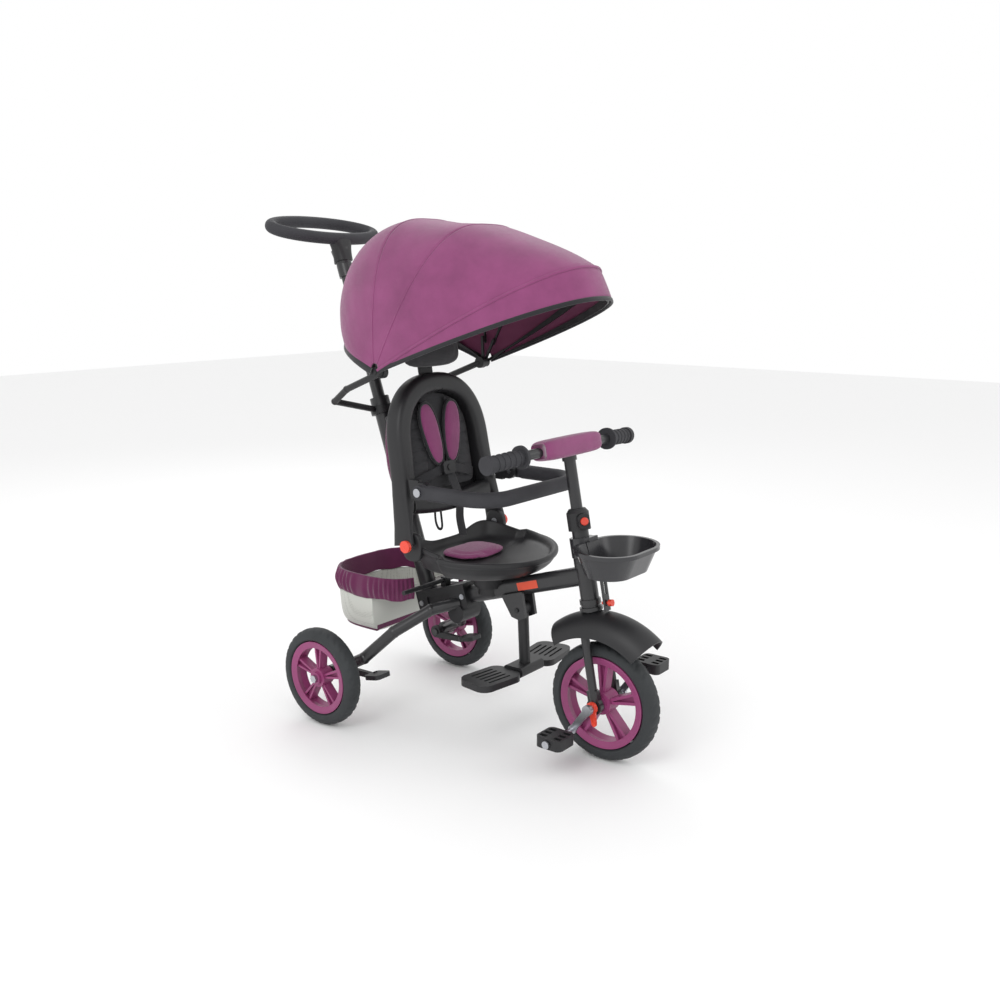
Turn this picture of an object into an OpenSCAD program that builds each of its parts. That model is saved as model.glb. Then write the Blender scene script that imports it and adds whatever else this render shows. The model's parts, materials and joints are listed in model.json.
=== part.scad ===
// Children's tricycle with canopy, push handle, tray and rear basket.
// Origin: floor level under the middle of the overall box. +X forward, +Y rider's left, +Z up. Units mm.

/* [Front end] */
// Outer radius of the front tyre
front_wheel_r = 125; // [110:1:140]
// Width of the front tyre
front_tyre_w = 44; // [36:1:50]
// Front axle distance ahead of the origin
front_axle_x = 365; // [340:1:380]
// Rake of the steering axis, top leaning back
rake = 11; // [5:0.5:18]
// Length of each pedal crank
crank_len = 60; // [50:1:70]
// Angle of the cranks at rest, from level
crank_angle = 55; // [0:1:90]
// Half length of the handlebar to the end of the grips
bar_half = 250; // [220:1:270]

/* [Rear end] */
// Outer radius of the rear tyres
rear_wheel_r = 110; // [95:1:125]
// Rear axle distance behind the origin
rear_axle_x = 228; // [200:1:250]
// Middle of each rear tyre, out from the centre plane
rear_track = 232; // [215:1:240]
// Width of the rear tyres
rear_tyre_w = 40; // [32:1:46]

/* [Seat] */
// Height of the recline hinge
hinge_z = 423; // [400:1:440]
// Lean of the backrest at rest
lean = 10; // [5:0.5:15]
// Half width of the seat shell
seat_half = 165; // [150:1:170]
// Height of the guardrail pivot
rail_z = 544; // [520:1:560]

/* [Canopy and handle] */
// Lean of the push handle tube, top rearward
handle_lean = 18.7; // [15:0.1:22]
// Half width of the canopy
canopy_half = 188; // [170:1:195]
// Angle of the front bow above level
front_bow_angle = 27.8; // [20:0.1:40]
// Wall thickness of the canopy cloth as modelled
cloth_t = 2.4; // [1.5:0.1:4]

/* [Hidden] */
$fn = 64;
gap = 0.35;
fit = 0.06;
front_axle_z = front_wheel_r;
rear_axle_z = rear_wheel_r;
hinge_x = -30;
tube_slope = 17.5;
tube_z0 = 285;
cpx = -90;
cpz = 785;
plastic = [0.24, 0.24, 0.25];
soft_black = [0.17, 0.17, 0.18];
magenta = [0.62, 0.33, 0.52];
dark_magenta = [0.40, 0.18, 0.33];
rim_colour = [0.56, 0.25, 0.43];
red = [0.90, 0.27, 0.20];
steel = [0.75, 0.76, 0.78];
mesh_grey = [0.78, 0.79, 0.76];
tyre_colour = [0.18, 0.19, 0.20];

// ---- helpers ----
module rod(a, b, r) {
  d = b - a;
  l = norm(d);
  translate(a) rotate([0, acos(d[2] / l), atan2(d[1], d[0])]) cylinder(r = r, h = l);
}
module joint_rods(pts, r) {
  for (i = [0 : len(pts) - 2]) rod(pts[i], pts[i + 1], r);
  for (i = [1 : len(pts) - 2]) translate(pts[i]) sphere(r = r + 0.9);
}
module along_y(r, y0, y1) {
  translate([0, y0, 0]) rotate([-90, 0, 0]) cylinder(r = r, h = y1 - y0);
}
module stadium(l, w) {
  square([l - w, w], center = true);
  for (s = [-1, 1]) translate([s * (l - w) / 2, 0]) circle(r = w / 2);
}
module rounded(l, w, r) {
  square([l - 2 * r, w], center = true);
  square([l, w - 2 * r], center = true);
  for (s = [-1, 1], t = [-1, 1]) translate([s * (l / 2 - r), t * (w / 2 - r)]) circle(r = r);
}
// Frustum whose plan is a stadium along Y
module tapered_tub(r1, r2, half, h) {
  for (s = [-1, 1]) translate([0, s * half, 0]) cylinder(r1 = r1, r2 = r2, h = h);
  rotate([90, 0, 0]) linear_extrude(height = 2 * half, center = true)
    polygon([[-r1, 0], [r1, 0], [r2, h], [-r2, h]]);
}
module steer() { translate([front_axle_x, 0, front_axle_z]) rotate([0, -rake, 0]) children(); }
module back() { translate([hinge_x, 0, hinge_z]) rotate([0, -lean, 0]) children(); }
module handle() { translate([-120, 0, 300]) rotate([0, -handle_lean, 0]) children(); }
module sides() { for (s = [-1, 1]) scale([1, 1, 1]) translate([0, 0, 0]) mirror([0, s < 0 ? 1 : 0, 0]) children(); }

// Closed tube swept through points, as one mesh
function unit(v) = v / norm(v);
function ring_at(p, t, w, r, n) = let (u = cross(w, t))
  [for (k = [0 : n - 1]) p + r * (cos(360 * k / n) * u + sin(360 * k / n) * w)];
// w is the unit normal of the plane the loop lies in
module loop_sweep(pts, w, r, n) {
  m = len(pts);
  v = [for (i = [0 : m - 1]) each
    ring_at(pts[i], unit(pts[(i + 1) % m] - pts[(i + m - 1) % m]), w, r, n)];
  f = [for (i = [0 : m - 1], k = [0 : n - 1]) let (j = (i + 1) % m, l = (k + 1) % n)
    each [[i * n + k, j * n + l, i * n + l], [i * n + k, j * n + k, j * n + l]]];
  polyhedron(v, f, convexity = 8);
}
// Closed block between an outer and an inner grid of points, (m+1) rows of (n+1)
module shell_grid(a, b) {
  m = len(a) - 1;
  n = len(a[0]) - 1;
  k = n + 1;
  o = (m + 1) * k;
  v = concat([for (r = a) each r], [for (r = b) each r]);
  f = concat(
    [for (i = [0 : m - 1], j = [0 : n - 1]) each [[i * k + j, i * k + j + 1, (i + 1) * k + j + 1],
      [i * k + j, (i + 1) * k + j + 1, (i + 1) * k + j]]],
    [for (i = [0 : m - 1], j = [0 : n - 1]) each [[o + i * k + j, o + (i + 1) * k + j + 1, o + i * k + j + 1],
      [o + i * k + j, o + (i + 1) * k + j, o + (i + 1) * k + j + 1]]],
    [for (i = [0 : m - 1]) each [[i * k, (i + 1) * k, o + (i + 1) * k], [i * k, o + (i + 1) * k, o + i * k],
      [i * k + n, o + (i + 1) * k + n, (i + 1) * k + n], [i * k + n, o + i * k + n, o + (i + 1) * k + n]]],
    [for (j = [0 : n - 1]) each [[j, o + j, o + j + 1], [j, o + j + 1, j + 1],
      [m * k + j, m * k + j + 1, o + m * k + j + 1], [m * k + j, o + m * k + j + 1, o + m * k + j]]]);
  polyhedron(v, f, convexity = 8);
}

// Canopy bow: half superellipse in the plane at angle a about the pivot line
function se(c, e) = (c < 0 ? -1 : 1) * pow(abs(c), 2 / e);
function bow_point(t, a, r, half, e) =
  let (q = r * se(sin(t), e)) [cpx + q * cos(a), half * se(cos(t), e), cpz + q * sin(a)];
function mixv(a, b, u) = a * (1 - u) + b * u;
// Cloth between two bows, dipping by sag in the middle, as rows of points
function cloth_rows(a0, r0, e0, a1, r1, e1, sag, drop, m) =
  [for (i = [0 : m]) let (u = i / m)
    [for (j = [0 : 20]) let (t = 3 + 174 * j / 20)
      bow_point(t, mixv(a0, a1, u), mixv(r0, r1, u) - sag * sin(180 * u) * sin(t) - drop,
        canopy_half - drop, mixv(e0, e1, u))]];
module cloth(a0, r0, e0, a1, r1, e1, sag, m) {
  shell_grid(cloth_rows(a0, r0, e0, a1, r1, e1, sag, 0, m),
    cloth_rows(a0, r0, e0, a1, r1, e1, sag, cloth_t, m));
}
// Flat strip bow just inside the cloth
module bow(a, r, e, half_angle) {
  function row(da, d) = [for (j = [0 : 24]) let (t = 3 + 174 * j / 24)
    bow_point(t, a + da, r - d - 3, canopy_half - d, e)];
  shell_grid([row(-half_angle, cloth_t + gap), row(half_angle, cloth_t + gap)],
    [row(-half_angle, cloth_t + gap + 4), row(half_angle, cloth_t + gap + 4)]);
}
module bow_foot(a, r_in, r_out, y0, y1, y_out = 184.2) {
  translate([cpx, 0, cpz]) rotate([0, -a, 0]) {
    difference() {
      union() {
        along_y(r_in, y0, y1);
        translate([0, y0, -3]) cube([r_out, y1 - y0, 6]);
      }
      along_y(4 + fit, -200, 200);
    }
    translate([r_out - 14, y0 > 0 ? y0 : -y_out, -3]) cube([14, y0 > 0 ? y_out - y0 : y1 + y_out, 6]);
  }
}

// ---- front wheel and drive ----
module front_tyre() color(tyre_colour) translate([front_axle_x, 0, front_axle_z]) rotate([90, 0, 0])
  difference() {
    rotate_extrude($fn = 96) difference() {
      union() {
        intersection() {
          translate([front_wheel_r - 22, 0]) circle(r = 22);
          translate([97, -front_tyre_w / 2]) square([40, front_tyre_w]);
        }
        translate([97, -20]) square([8, 40]);
      }
      for (s = [-1, 1]) translate([front_wheel_r - 1.6, s * 6 - 1]) square([4, 2]);
    }
  }

module wheel_disc(r, w, hub_r, hub_w, bore, n, sw) {
  rotate([90, 0, 0]) difference() {
    union() {
      rotate_extrude($fn = 96) polygon([[r - 15, -w / 2 + 3], [r - 3, -w / 2], [r, -w / 2],
        [r, w / 2], [r - 3, w / 2], [r - 15, w / 2 - 3], [r - 11, 0]]);
      cylinder(r = hub_r, h = hub_w, center = true);
      cylinder(r = hub_r + 7, h = hub_w - 12, center = true);
      for (k = [0 : n - 1]) rotate([0, 0, 90 + 360 * k / n]) {
        for (s = [-1, 1]) rotate([0, 0, s * 7]) translate([hub_r, -sw / 2, -w * 0.32])
          cube([r - 13 - hub_r, sw, w * 0.64]);
        linear_extrude(height = w * 0.22, center = true)
          polygon([[hub_r, -hub_r * 0.12 - 4], [r - 12, -r * 0.11], [r - 12, r * 0.11],
            [hub_r, hub_r * 0.12 + 4]]);
      }
    }
    cylinder(r = bore, h = 200, center = true);
  }
}
module front_rim() color(rim_colour) translate([front_axle_x, 0, front_axle_z])
  wheel_disc(97, 38, 17, 50, 7 + fit, 5, 6);

module crank_set() color(steel) translate([front_axle_x, 0, front_axle_z]) rotate([0, -crank_angle, 0]) {
  along_y(7, -64, 64);
  for (s = [-1, 1]) {
    translate([0, s * 66, 0]) rotate([90, 0, 0]) linear_extrude(height = 8, center = true) {
      translate([s * crank_len / 2, 0]) square([crank_len, 14], center = true);
      circle(r = 11);
      translate([s * crank_len, 0]) circle(r = 9);
    }
    translate([s * crank_len, 0, 0]) along_y(5, s > 0 ? 68 : -162, s > 0 ? 162 : -68);
    translate([s * crank_len, 0, 0]) along_y(8, s > 0 ? 160 : -164, s > 0 ? 164 : -160);
  }
}
module pedal(s) color(plastic)
  translate([front_axle_x, 0, front_axle_z] + s * crank_len * [cos(crank_angle), 0, sin(crank_angle)])
  difference() {
    translate([0, s * 129, 0]) linear_extrude(height = 22, center = true) rounded(60, 58, 12);
    along_y(5 + fit, -170, 170);
    for (t = [-1, 1], k = [-1, 0, 1]) translate([t * 17, s * 129 + k * 16, 0]) cube([16, 9, 30], center = true);
  }
module pedal_right() pedal(-1);
module pedal_left() pedal(1);

// ---- fork and steering ----
module fork() color(plastic) steer() difference() {
  union() {
    for (s = [-1, 1]) {
      translate([0, s * 37, 0]) cylinder(r = 9, h = 156);
      translate([0, s * 37, 0]) rotate([90, 0, 0]) linear_extrude(height = 12, center = true) {
        circle(r = 17);
        translate([0, 16]) square([24, 34], center = true);
      }
    }
    translate([0, 0, 144]) linear_extrude(height = 14) rotate([0, 0, 90]) stadium(88, 26);
    translate([0, 0, 156]) cylinder(r = 21, h = 23);
    translate([0, 0, 178]) cylinder(r = 16, h = 26);
    translate([0, 0, 192]) cylinder(r = 24, h = 7);
    translate([0, 0, 199]) cylinder(r = 20, h = 5.6);
    translate([0, 0, 200]) cylinder(r = 13, h = 100);
  }
  along_y(7 + fit, -80, 80);
}
module fender() color(plastic) translate([front_axle_x, 0, front_axle_z]) difference() {
  rotate([90, 0, 0]) rotate([0, 0, 52]) rotate_extrude(angle = 77, $fn = 96) difference() {
    intersection() {
      translate([138, 0]) circle(r = 53);
      translate([146, -60]) square([60, 120]);
    }
    translate([138, 0]) circle(r = 49.6);
  }
  rotate([0, -rake, 0]) cylinder(r = 16, h = 260);
}
module fork_knob() {
  steer() {
    color(red) translate([45.4, 0, 206]) rotate([0, 90, 0]) {
      cylinder(r = 7, h = 8);
      translate([0, 0, -17]) cylinder(r = 3, h = 18);
    }
  }
}
module clutch_lever() color(red) translate([front_axle_x, 0, front_axle_z]) difference() {
  rotate([0, -rake, 0]) translate([0, -49.6, 0]) rotate([90, 0, 0]) linear_extrude(height = 5, center = true) {
    circle(r = 12.5);
    polygon([[-8, -8], [8, -8], [5, -34], [-5, -34]]);
    translate([0, -34]) circle(r = 5);
  }
  along_y(7 + fit, -80, 80);
}
module stem_tube() color(plastic) steer() difference() {
  union() {
    translate([0, 0, 293.5]) cylinder(r = 22, h = 8);
    translate([0, 0, 299]) cylinder(r = 17, h = 77);
  }
  translate([0, 0, 250]) cylinder(r = 13, h = 50);
  translate([0, 0, 300]) cylinder(r = 12 + fit, h = 100);
}
module stem_clamp() color(soft_black) steer() difference() {
  union() {
    translate([0, 0, 358]) cylinder(r = 23, h = 36);
    translate([0, 0, 394]) cylinder(r1 = 23, r2 = 17, h = 8);
    translate([0, 0, 377]) rotate([0, 0, -35]) translate([18, 0, 0]) rotate([0, 90, 0])
      linear_extrude(height = 14) rounded(30, 24, 8);
  }
  translate([0, 0, 350]) cylinder(r = 17, h = 26);
  translate([0, 0, 370]) cylinder(r = 12 + fit, h = 40);
  translate([0, 0, 377]) rotate([0, 0, -35]) translate([24.6, 0, 0]) rotate([0, 90, 0]) cylinder(r = 8.4, h = 20);
}
module clamp_button() color(red) steer() translate([0, 0, 377]) rotate([0, 0, -35])
  translate([29.4, 0, 0]) rotate([0, 90, 0]) {
    cylinder(r = 8, h = 6);
    translate([0, 0, 6]) cylinder(r1 = 8, r2 = 6.5, h = 1.6);
  }
module tray() color(plastic) difference() {
  union() {
    difference() {
      union() {
        translate([385, 0, 402]) tapered_tub(46, 65, 30, 48);
        translate([385, 0, 448]) tapered_tub(70, 70, 30, 8);
      }
      translate([385, 0, 407]) tapered_tub(45, 63, 30, 50);
    }
    steer() translate([0, 0, 303]) cylinder(r = 24, h = 40);
    steer() translate([12, -16, 303]) cube([18, 32, 40]);
    // slotted knob carrier below the bowl
    steer() difference() {
      translate([36, -9, 190]) cube([5, 18, 86]);
      translate([30, 0, 206]) rotate([0, 90, 0]) cylinder(r = 3.4, h = 20);
      translate([38, 0, 246]) cube([20, 8, 44], center = true);
    }
  }
  steer() translate([0, 0, 280]) cylinder(r = 17, h = 100);
  translate([385, 0, 408]) tapered_tub(44.6, 62, 30, 50);
}
module handlebar() color(plastic) {
  steer() translate([0, 0, 335]) cylinder(r = 12, h = 188);
  steer() translate([0, 0, 500]) difference() {
    cylinder(r = 15, h = 24);
    translate([0, 0, -1]) cylinder(r = 12, h = 26);
  }
  bar_path(10);
}
module bar_path(r) steer() translate([0, 0, 528]) {
  along_y(r, -110, 110);
  for (s = [-1, 1]) {
    translate([0, s * 110, 0]) sphere(r = r);
    rod([0, s * 110, 0], [-13, s * 243, -4], r);
  }
}
module handlebar_pad() color(magenta) difference() {
  steer() translate([0, 0, 530]) rotate([90, 0, 0]) linear_extrude(height = 196, center = true) rounded(50, 42, 16);
  bar_path(10);
  steer() translate([0, 0, 500]) cylinder(r = 15, h = 24);
  steer() translate([0, 0, 460]) cylinder(r = 12, h = 63);
}
module grips() color(soft_black) difference() {
  steer() translate([0, 0, 528]) for (s = [-1, 1]) {
    rod([-4.3, s * 154, -1.3], [-12.7, s * 240, -3.9], 15.5);
    rod([-3.9, s * 150, -1.2], [-4.5, s * 156, -1.4], 23);
    rod([-12.4, s * 237, -3.8], [-13.7, s * bar_half, -4.2], 18);
    for (k = [0 : 4]) rod([-5.2 - 1.5 * k, s * (164 + 15 * k), -1.6 - 0.45 * k],
      [-5.5 - 1.5 * k, s * (167 + 15 * k), -1.7 - 0.45 * k], 16.6);
  }
  bar_path(10);
}

// ---- main frame ----
module head_tube() color(plastic) steer() difference() {
  union() {
    translate([0, 0, 205]) cylinder(r = 19, h = 88);
    translate([0, 0, 205]) cylinder(r = 22, h = 10);
    translate([0, 0, 282]) cylinder(r = 22, h = 11);
  }
  cylinder(r = 13 + fit, h = 400);
}
module along_tube() translate([0, 0, tube_z0]) rotate([0, -tube_slope, 0]) children();
module main_tube() color(plastic) difference() {
  along_tube() translate([16, 0, 0]) rotate([0, 90, 0]) linear_extrude(height = 312) stadium(40, 28);
  steer() cylinder(r = 19, h = 400);
  steer() translate([0, 0, 282]) cylinder(r = 22, h = 11);
  translate([65, 0, 305]) cylinder(r = 9, h = 60);
}
module side_stickers() color(red) along_tube() for (s = [-1, 1])
  translate([184, s * 14.3, 0]) cube([54, 0.6, 17], center = true);
module rear_junction() color(plastic) difference() {
  union() {
    along_tube() translate([-130, -26, -28]) cube([146, 52, 56]);
    along_tube() translate([-20, 0, -34]) rotate([90, 0, 0]) cylinder(r = 22, h = 62, center = true);
    translate([-70, -9, 270]) cube([14, 18, 46]);
    rod([-63, -140, 309], [-63, 140, 309], 5);
  }
  handle() translate([0, 0, -80]) cylinder(r = 19, h = 500);
  for (s = [-1, 1]) along_tube() translate([-64, s * 26, 0]) cube([70, 8, 22], center = true);
  leg_path(-1, 13);
  mirror([0, 1, 0]) leg_path(-1, 13);
}
module junction_rivets() color(steel) along_tube() for (s = [-1, 1], x = [-118, 6])
  translate([x, s * 26, 0]) rotate([-s * 90, 0, 0]) {
    cylinder(r = 6, h = 2.4);
    cylinder(r = 3.5, h = 3.6);
  }
function leg_pts(s) = [[-6, s * 20, 270], [-50, s * 66, 256], [-112, s * 122, 206], [-160, s * 168, 148],
  [-rear_axle_x, s * 190, rear_axle_z]];
module leg_path(s, r) joint_rods(leg_pts(s), r);
module rear_leg(s) color(plastic) difference() {
  union() {
    leg_path(s, 13);
    translate([-rear_axle_x, 0, rear_axle_z]) along_y(17, s > 0 ? 180 : -208, s > 0 ? 208 : -180);
    translate([-rear_axle_x, 0, rear_axle_z]) along_y(8, s > 0 ? 147 : -185, s > 0 ? 185 : -147);
  }
  translate([-rear_axle_x, 0, rear_axle_z]) along_y(6, s > 0 ? 186 : -260, s > 0 ? 260 : -186);
}
module rear_leg_right() rear_leg(-1);
module rear_leg_left() mirror([0, 1, 0]) rear_leg(-1);
module wheel_bolts() color(steel) for (s = [-1, 1]) translate([-rear_axle_x, 0, rear_axle_z]) {
  along_y(6, s > 0 ? 186 : -256, s > 0 ? 256 : -186);
  translate([0, s * 257, 0]) rotate([90, 0, 0]) cylinder(r = 9, h = 6, center = true, $fn = 6);
}
module rear_rim(s) color(rim_colour) translate([-rear_axle_x, s * rear_track, rear_axle_z])
  wheel_disc(82, 34, 14, 43, 6 + fit, 5, 4.5);
module rear_tyre(s) color(tyre_colour) translate([-rear_axle_x, s * rear_track, rear_axle_z])
  rotate([90, 0, 0]) rotate_extrude($fn = 96) difference() {
    union() {
      intersection() {
        translate([rear_wheel_r - 20, 0]) circle(r = 20);
        translate([82, -30]) square([40, 60]);
      }
      translate([82, -18]) square([9, 36]);
    }
    for (t = [-1, 1]) translate([rear_wheel_r - 1.6, t * 6 - 1]) square([4, 2]);
  }
module rear_rim_right() rear_rim(-1);
module rear_rim_left() rear_rim(1);
module rear_tyre_right() rear_tyre(-1);
module rear_tyre_left() rear_tyre(1);
module brake_lever(s) color(plastic) {
  translate([-rear_axle_x, s * 155, rear_axle_z]) {
    rotate([90, 0, 0]) linear_extrude(height = 10, center = true) difference() {
      union() {
        circle(r = 15);
        polygon([[0, -15], [84, -10], [84, 2], [0, 0]]);
      }
      circle(r = 8 + fit);
    }
    rotate([0, -12, 0]) translate([100, s * 6, -18]) linear_extrude(height = 10, center = true) rounded(44, 44, 9);
    rotate([90, 0, 0]) linear_extrude(height = 10, center = true) polygon([[70, -11], [84, -10], [96, 4], [88, 8]]);
  }
}
module brake_lever_right() brake_lever(-1);
module brake_lever_left() brake_lever(1);

// ---- seat ----
module seat_plan(r, w, rear) {
  intersection() {
    translate([45, 0]) circle(r = r);
    translate([45, -r]) square([r + 5, 2 * r]);
  }
  translate([4, -r]) square([42, 2 * r]);
  translate([rear, -w]) square([50 - rear, 2 * w]);
}
module seat_shell() color(plastic) difference() {
  union() {
    translate([0, 0, 368]) linear_extrude(height = 38) seat_plan(seat_half - 9, 140, -58);
    translate([0, 0, 392]) linear_extrude(height = 14) seat_plan(seat_half, 146, -64);
    translate([0, 0, 358]) linear_extrude(height = 11) seat_plan(seat_half - 30, 118, -40);
    for (s = [-1, 1]) translate([hinge_x, s * 142, hinge_z]) rotate([90, 0, 0]) {
      linear_extrude(height = 14, center = true) {
        circle(r = 25);
        translate([0, -20]) square([50, 30], center = true);
      }
    }
  }
  translate([0, 0, 384]) linear_extrude(height = 60) seat_plan(seat_half - 20, 126, -48);
  translate([0, 0, 340]) linear_extrude(height = 38) difference() {
    seat_plan(seat_half - 40, 110, -30);
    translate([65, 0]) circle(r = 56);
  }
  for (s = [-1, 1]) translate([hinge_x, 0, hinge_z]) along_y(8, -170, 170);
  along_tube() translate([100, 0, 0]) rotate([0, 90, 0]) linear_extrude(height = 332) stadium(40.6, 28.6);
}
module seat_pedestal() color(plastic) difference() {
  union() {
    translate([65, 0, 318]) cylinder(r1 = 34, r2 = 52, h = 40);
    translate([65, 0, 300]) cylinder(r = 26, h = 20);
  }
  along_tube() translate([-40, 0, 0]) rotate([0, 90, 0]) linear_extrude(height = 332) stadium(40, 28);
}
module seat_pad() color(magenta) translate([18, 0, 384]) {
  linear_extrude(height = 10) rounded(110, 150, 40);
  translate([0, 0, 10]) linear_extrude(height = 4) rounded(98, 138, 36);
}
module recline_pins() color(steel) translate([hinge_x, 0, hinge_z]) for (s = [-1, 1])
  along_y(8, s > 0 ? 135 : -157, s > 0 ? 157 : -135);

// ---- backrest ----
module back_plan(w, r, c, h0) intersection() {
  translate([-w, h0]) square([2 * w, 400]);
  translate([0, c]) circle(r = r, $fn = 96);
}
// Draws a (y, height) outline in the backrest plane, from depth x0 to x1
module back_slab(x0, x1) translate([x0, 0, 0]) rotate([90, 0, 90]) linear_extrude(height = x1 - x0) children();
module backrest_shell() color(plastic) back() difference() {
  union() {
    back_slab(-34, 12) back_plan(150, 192, 165, 62);
    for (s = [-1, 1]) {
      back_slab(-26, 20) polygon([[s * 150.4, 0], [s * 166, 0], [s * 166, 50], [s * 150, 170],
        [s * 120, 170], [s * 120, 75], [s * 142, 55], [s * 150.4, 40]]);
      rotate([90, 0, 0]) translate([0, 0, s * -158.2]) cylinder(r = 27, h = 15.6, center = true);
    }
  }
  back_slab(-29, 40) back_plan(108, 150, 165, 104);
  for (s = [-1, 1]) {
    along_y(8 + fit, s > 0 ? 130 : -158.4, s > 0 ? 158.4 : -130);
    along_y(13.4, s > 0 ? 158.2 : -180, s > 0 ? 180 : -158.2);
  }
  mast_slot();
}
module mast_slot() translate([-27.4, -22.4, 232]) cube([8.8, 44.8, 170]);
module backrest_padding() color(soft_black) back() union() {
  difference() {
    back_slab(-28.6, -14) back_plan(104, 146, 165, 108);
    mast_slot();
  }
  for (s = [-1, 1]) back_slab(-15, -8) translate([s * 68, 205]) rounded(44, 150, 18);
  back_slab(-15, -8) translate([0, 150]) rounded(70, 60, 18);
}
module shoulder_pads() color(magenta) back() for (s = [-1, 1])
  back_slab(-7.6, 4) translate([s * 26, 222]) rotate([0, 0, s * 7]) rounded(34, 118, 16);
module harness_buckle() color(soft_black) back() {
  back_slab(-7.6, 8) translate([0, 146]) rounded(40, 28, 8);
  color(red) back_slab(8, 10) translate([0, 146]) circle(r = 7);
}
module harness_straps() color(soft_black) back() {
  // wide strap and thin loop hanging below the padding
  back_slab(-12, -10) translate([6, 34]) square([30, 55.4], center = true);
  for (s = [-1, 1]) translate([-11, s * 9 - 42, 26]) cylinder(r = 2.2, h = 35.7);
  translate([-11, -42, 26]) rotate([-90, 0, 90]) rotate_extrude(angle = 180) translate([9, 0]) circle(r = 2.2, $fn = 16);
}
module recline_button(s) color(red) translate([hinge_x, 0, hinge_z])
  along_y(13, s > 0 ? 162.4 : -170, s > 0 ? 170 : -162.4);
module recline_button_right() recline_button(-1);
module recline_button_left() recline_button(1);
module headrest() color(soft_black) back() {
  back_slab(-20, 20) translate([0, 405]) rounded(190, 80, 34);
  translate([-27, -22, 270]) cube([8, 44, 110]);
}
module guardrail_sockets() color(plastic) for (s = [-1, 1]) difference() {
  translate([0, s * 143.5, 0]) rotate([90, 0, 0]) linear_extrude(height = 11, center = true) {
    translate([-10, rail_z]) square([40, 32], center = true);
    translate([10, rail_z]) circle(r = 16);
    translate([-26, rail_z]) square([36, 40], center = true);
  }
  back_cut();
  translate([10, 0, rail_z]) along_y(5, -200, 200);
}
module back_cut() back() {
  back_slab(-34, 12) back_plan(150, 192, 165, 62);
  for (s = [-1, 1]) back_slab(-26, 20) polygon([[s * 150.4, 0], [s * 166, 0], [s * 166, 50],
    [s * 150, 170], [s * 120, 170], [s * 120, 75], [s * 142, 55], [s * 150.4, 40]]);
}
module guardrail_screws() color(steel) for (s = [-1, 1]) translate([10, 0, rail_z]) {
  along_y(5, s > 0 ? 138 : -172, s > 0 ? 172 : -138);
  along_y(9, s > 0 ? 170 : -174, s > 0 ? 174 : -170);
}
module guardrail() color(soft_black) difference() {
  union() {
    for (s = [-1, 1]) {
      translate([10, s * 160, rail_z]) rotate([90, 0, 0]) linear_extrude(height = 19, center = true) {
        circle(r = 15);
        translate([22, 0]) square([44, 26], center = true);
      }
      translate([34, s * 160, rail_z]) rotate([0, 90, 0]) cylinder(r = 16, h = 92);
      translate([126, s * 96, rail_z]) rotate([0, 0, s > 0 ? 0 : -90])
        rotate_extrude(angle = 90) translate([64, 0]) circle(r = 16);
    }
    translate([190, 0, rail_z]) along_y(16, -96, 96);
  }
  translate([10, 0, rail_z]) along_y(5 + fit, -200, 200);
}
module storage_bag() color(dark_magenta) back() difference() {
  union() {
    back_slab(-74, -34.4) translate([0, 172]) rounded(236, 196, 34);
    back_slab(-78, -73) translate([0, 150]) rounded(180, 120, 26);
  }
  back_slab(-70, -38) translate([0, 184]) square([210, 178], center = true);
  translate([-54, 0, 270]) cube([32, 200, 60], center = true);
}

// ---- push handle ----
module handle_lower_tube() color(plastic) handle() difference() {
  union() {
    translate([0, 0, -46]) cylinder(r = 19, h = 470);
    translate([0, 0, 410]) cylinder(r = 22, h = 20);
  }
  translate([0, 0, 20]) cylinder(r = 14 + fit, h = 500);
}
module handle_upper() color(soft_black) handle() {
  translate([0, 0, 190]) cylinder(r = 14, h = 585);
  translate([0, 0, 715]) cylinder(r = 18, h = 28);
  translate([0, 0, 742]) cylinder(r1 = 17, r2 = 22, h = 36);
}
ring_c = [-421.5, 0, 1081.6];
ring_tilt = 20;
function ring_points() = [for (i = [0 : 47]) let (t = 7.5 * i)
  ring_c + [58 * cos(t) * cos(ring_tilt), 150 * sin(t), -58 * cos(t) * sin(ring_tilt)]];
module handle_ring() color(soft_black) difference() {
  union() {
    loop_sweep(ring_points(), [sin(ring_tilt), 0, cos(ring_tilt)], 13.5, 12);
    translate([-366, 0, 1055]) rotate([0, -handle_lean, 0]) sphere(r = 20);
  }
  handle() translate([0, 0, 700]) cylinder(r = 14, h = 75);
  handle() translate([0, 0, 742]) cylinder(r1 = 17, r2 = 22, h = 36);
}

// ---- canopy ----
module canopy_bracket() color(plastic) difference() {
  union() {
    handle() translate([0, 0, 392]) cylinder(r = 27, h = 17);
    for (s = [-1, 1]) {
      joint_rods([[-250, s * 22, 682], [-246, s * 150, 712], [-200, s * 158, 742], [cpx, s * 162.5, cpz]], 7);
      translate([cpx, 0, cpz]) along_y(13, s > 0 ? 157 : -170, s > 0 ? 170 : -157);
      translate([cpx, 0, cpz]) along_y(4, s > 0 ? 169 : -184.5, s > 0 ? 184.5 : -169);
    }
  }
  handle() translate([0, 0, 300]) cylinder(r = 19, h = 200);
  handle() translate([0, 0, 409.5]) cylinder(r = 22.3, h = 30);
}
module bow_pair(a, r, e, ha, y0) {
  bow(a, r, e, ha);
  for (s = [-1, 1]) bow_foot(a, 11, 60, s > 0 ? y0 : -y0 - 4, s > 0 ? y0 + 4 : -y0);
}
module canopy_rear_bow() color(soft_black) {
  bow_pair(92.8, 309, 3, 1.5, 170.4);
  bow(152, 179, 2.6, 2.6);
}
module canopy_rear_cloth() color(magenta) cloth(91, 312, 3, 157, 178, 2.6, -34, 12);
module canopy_mid_bow() color(soft_black) bow_pair(62.3, 334, 3, 1.8, 174.8);
module canopy_mid_cloth() color(magenta) cloth(62.9, 335, 3, 90.4, 312, 3, 9, 8);
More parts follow.
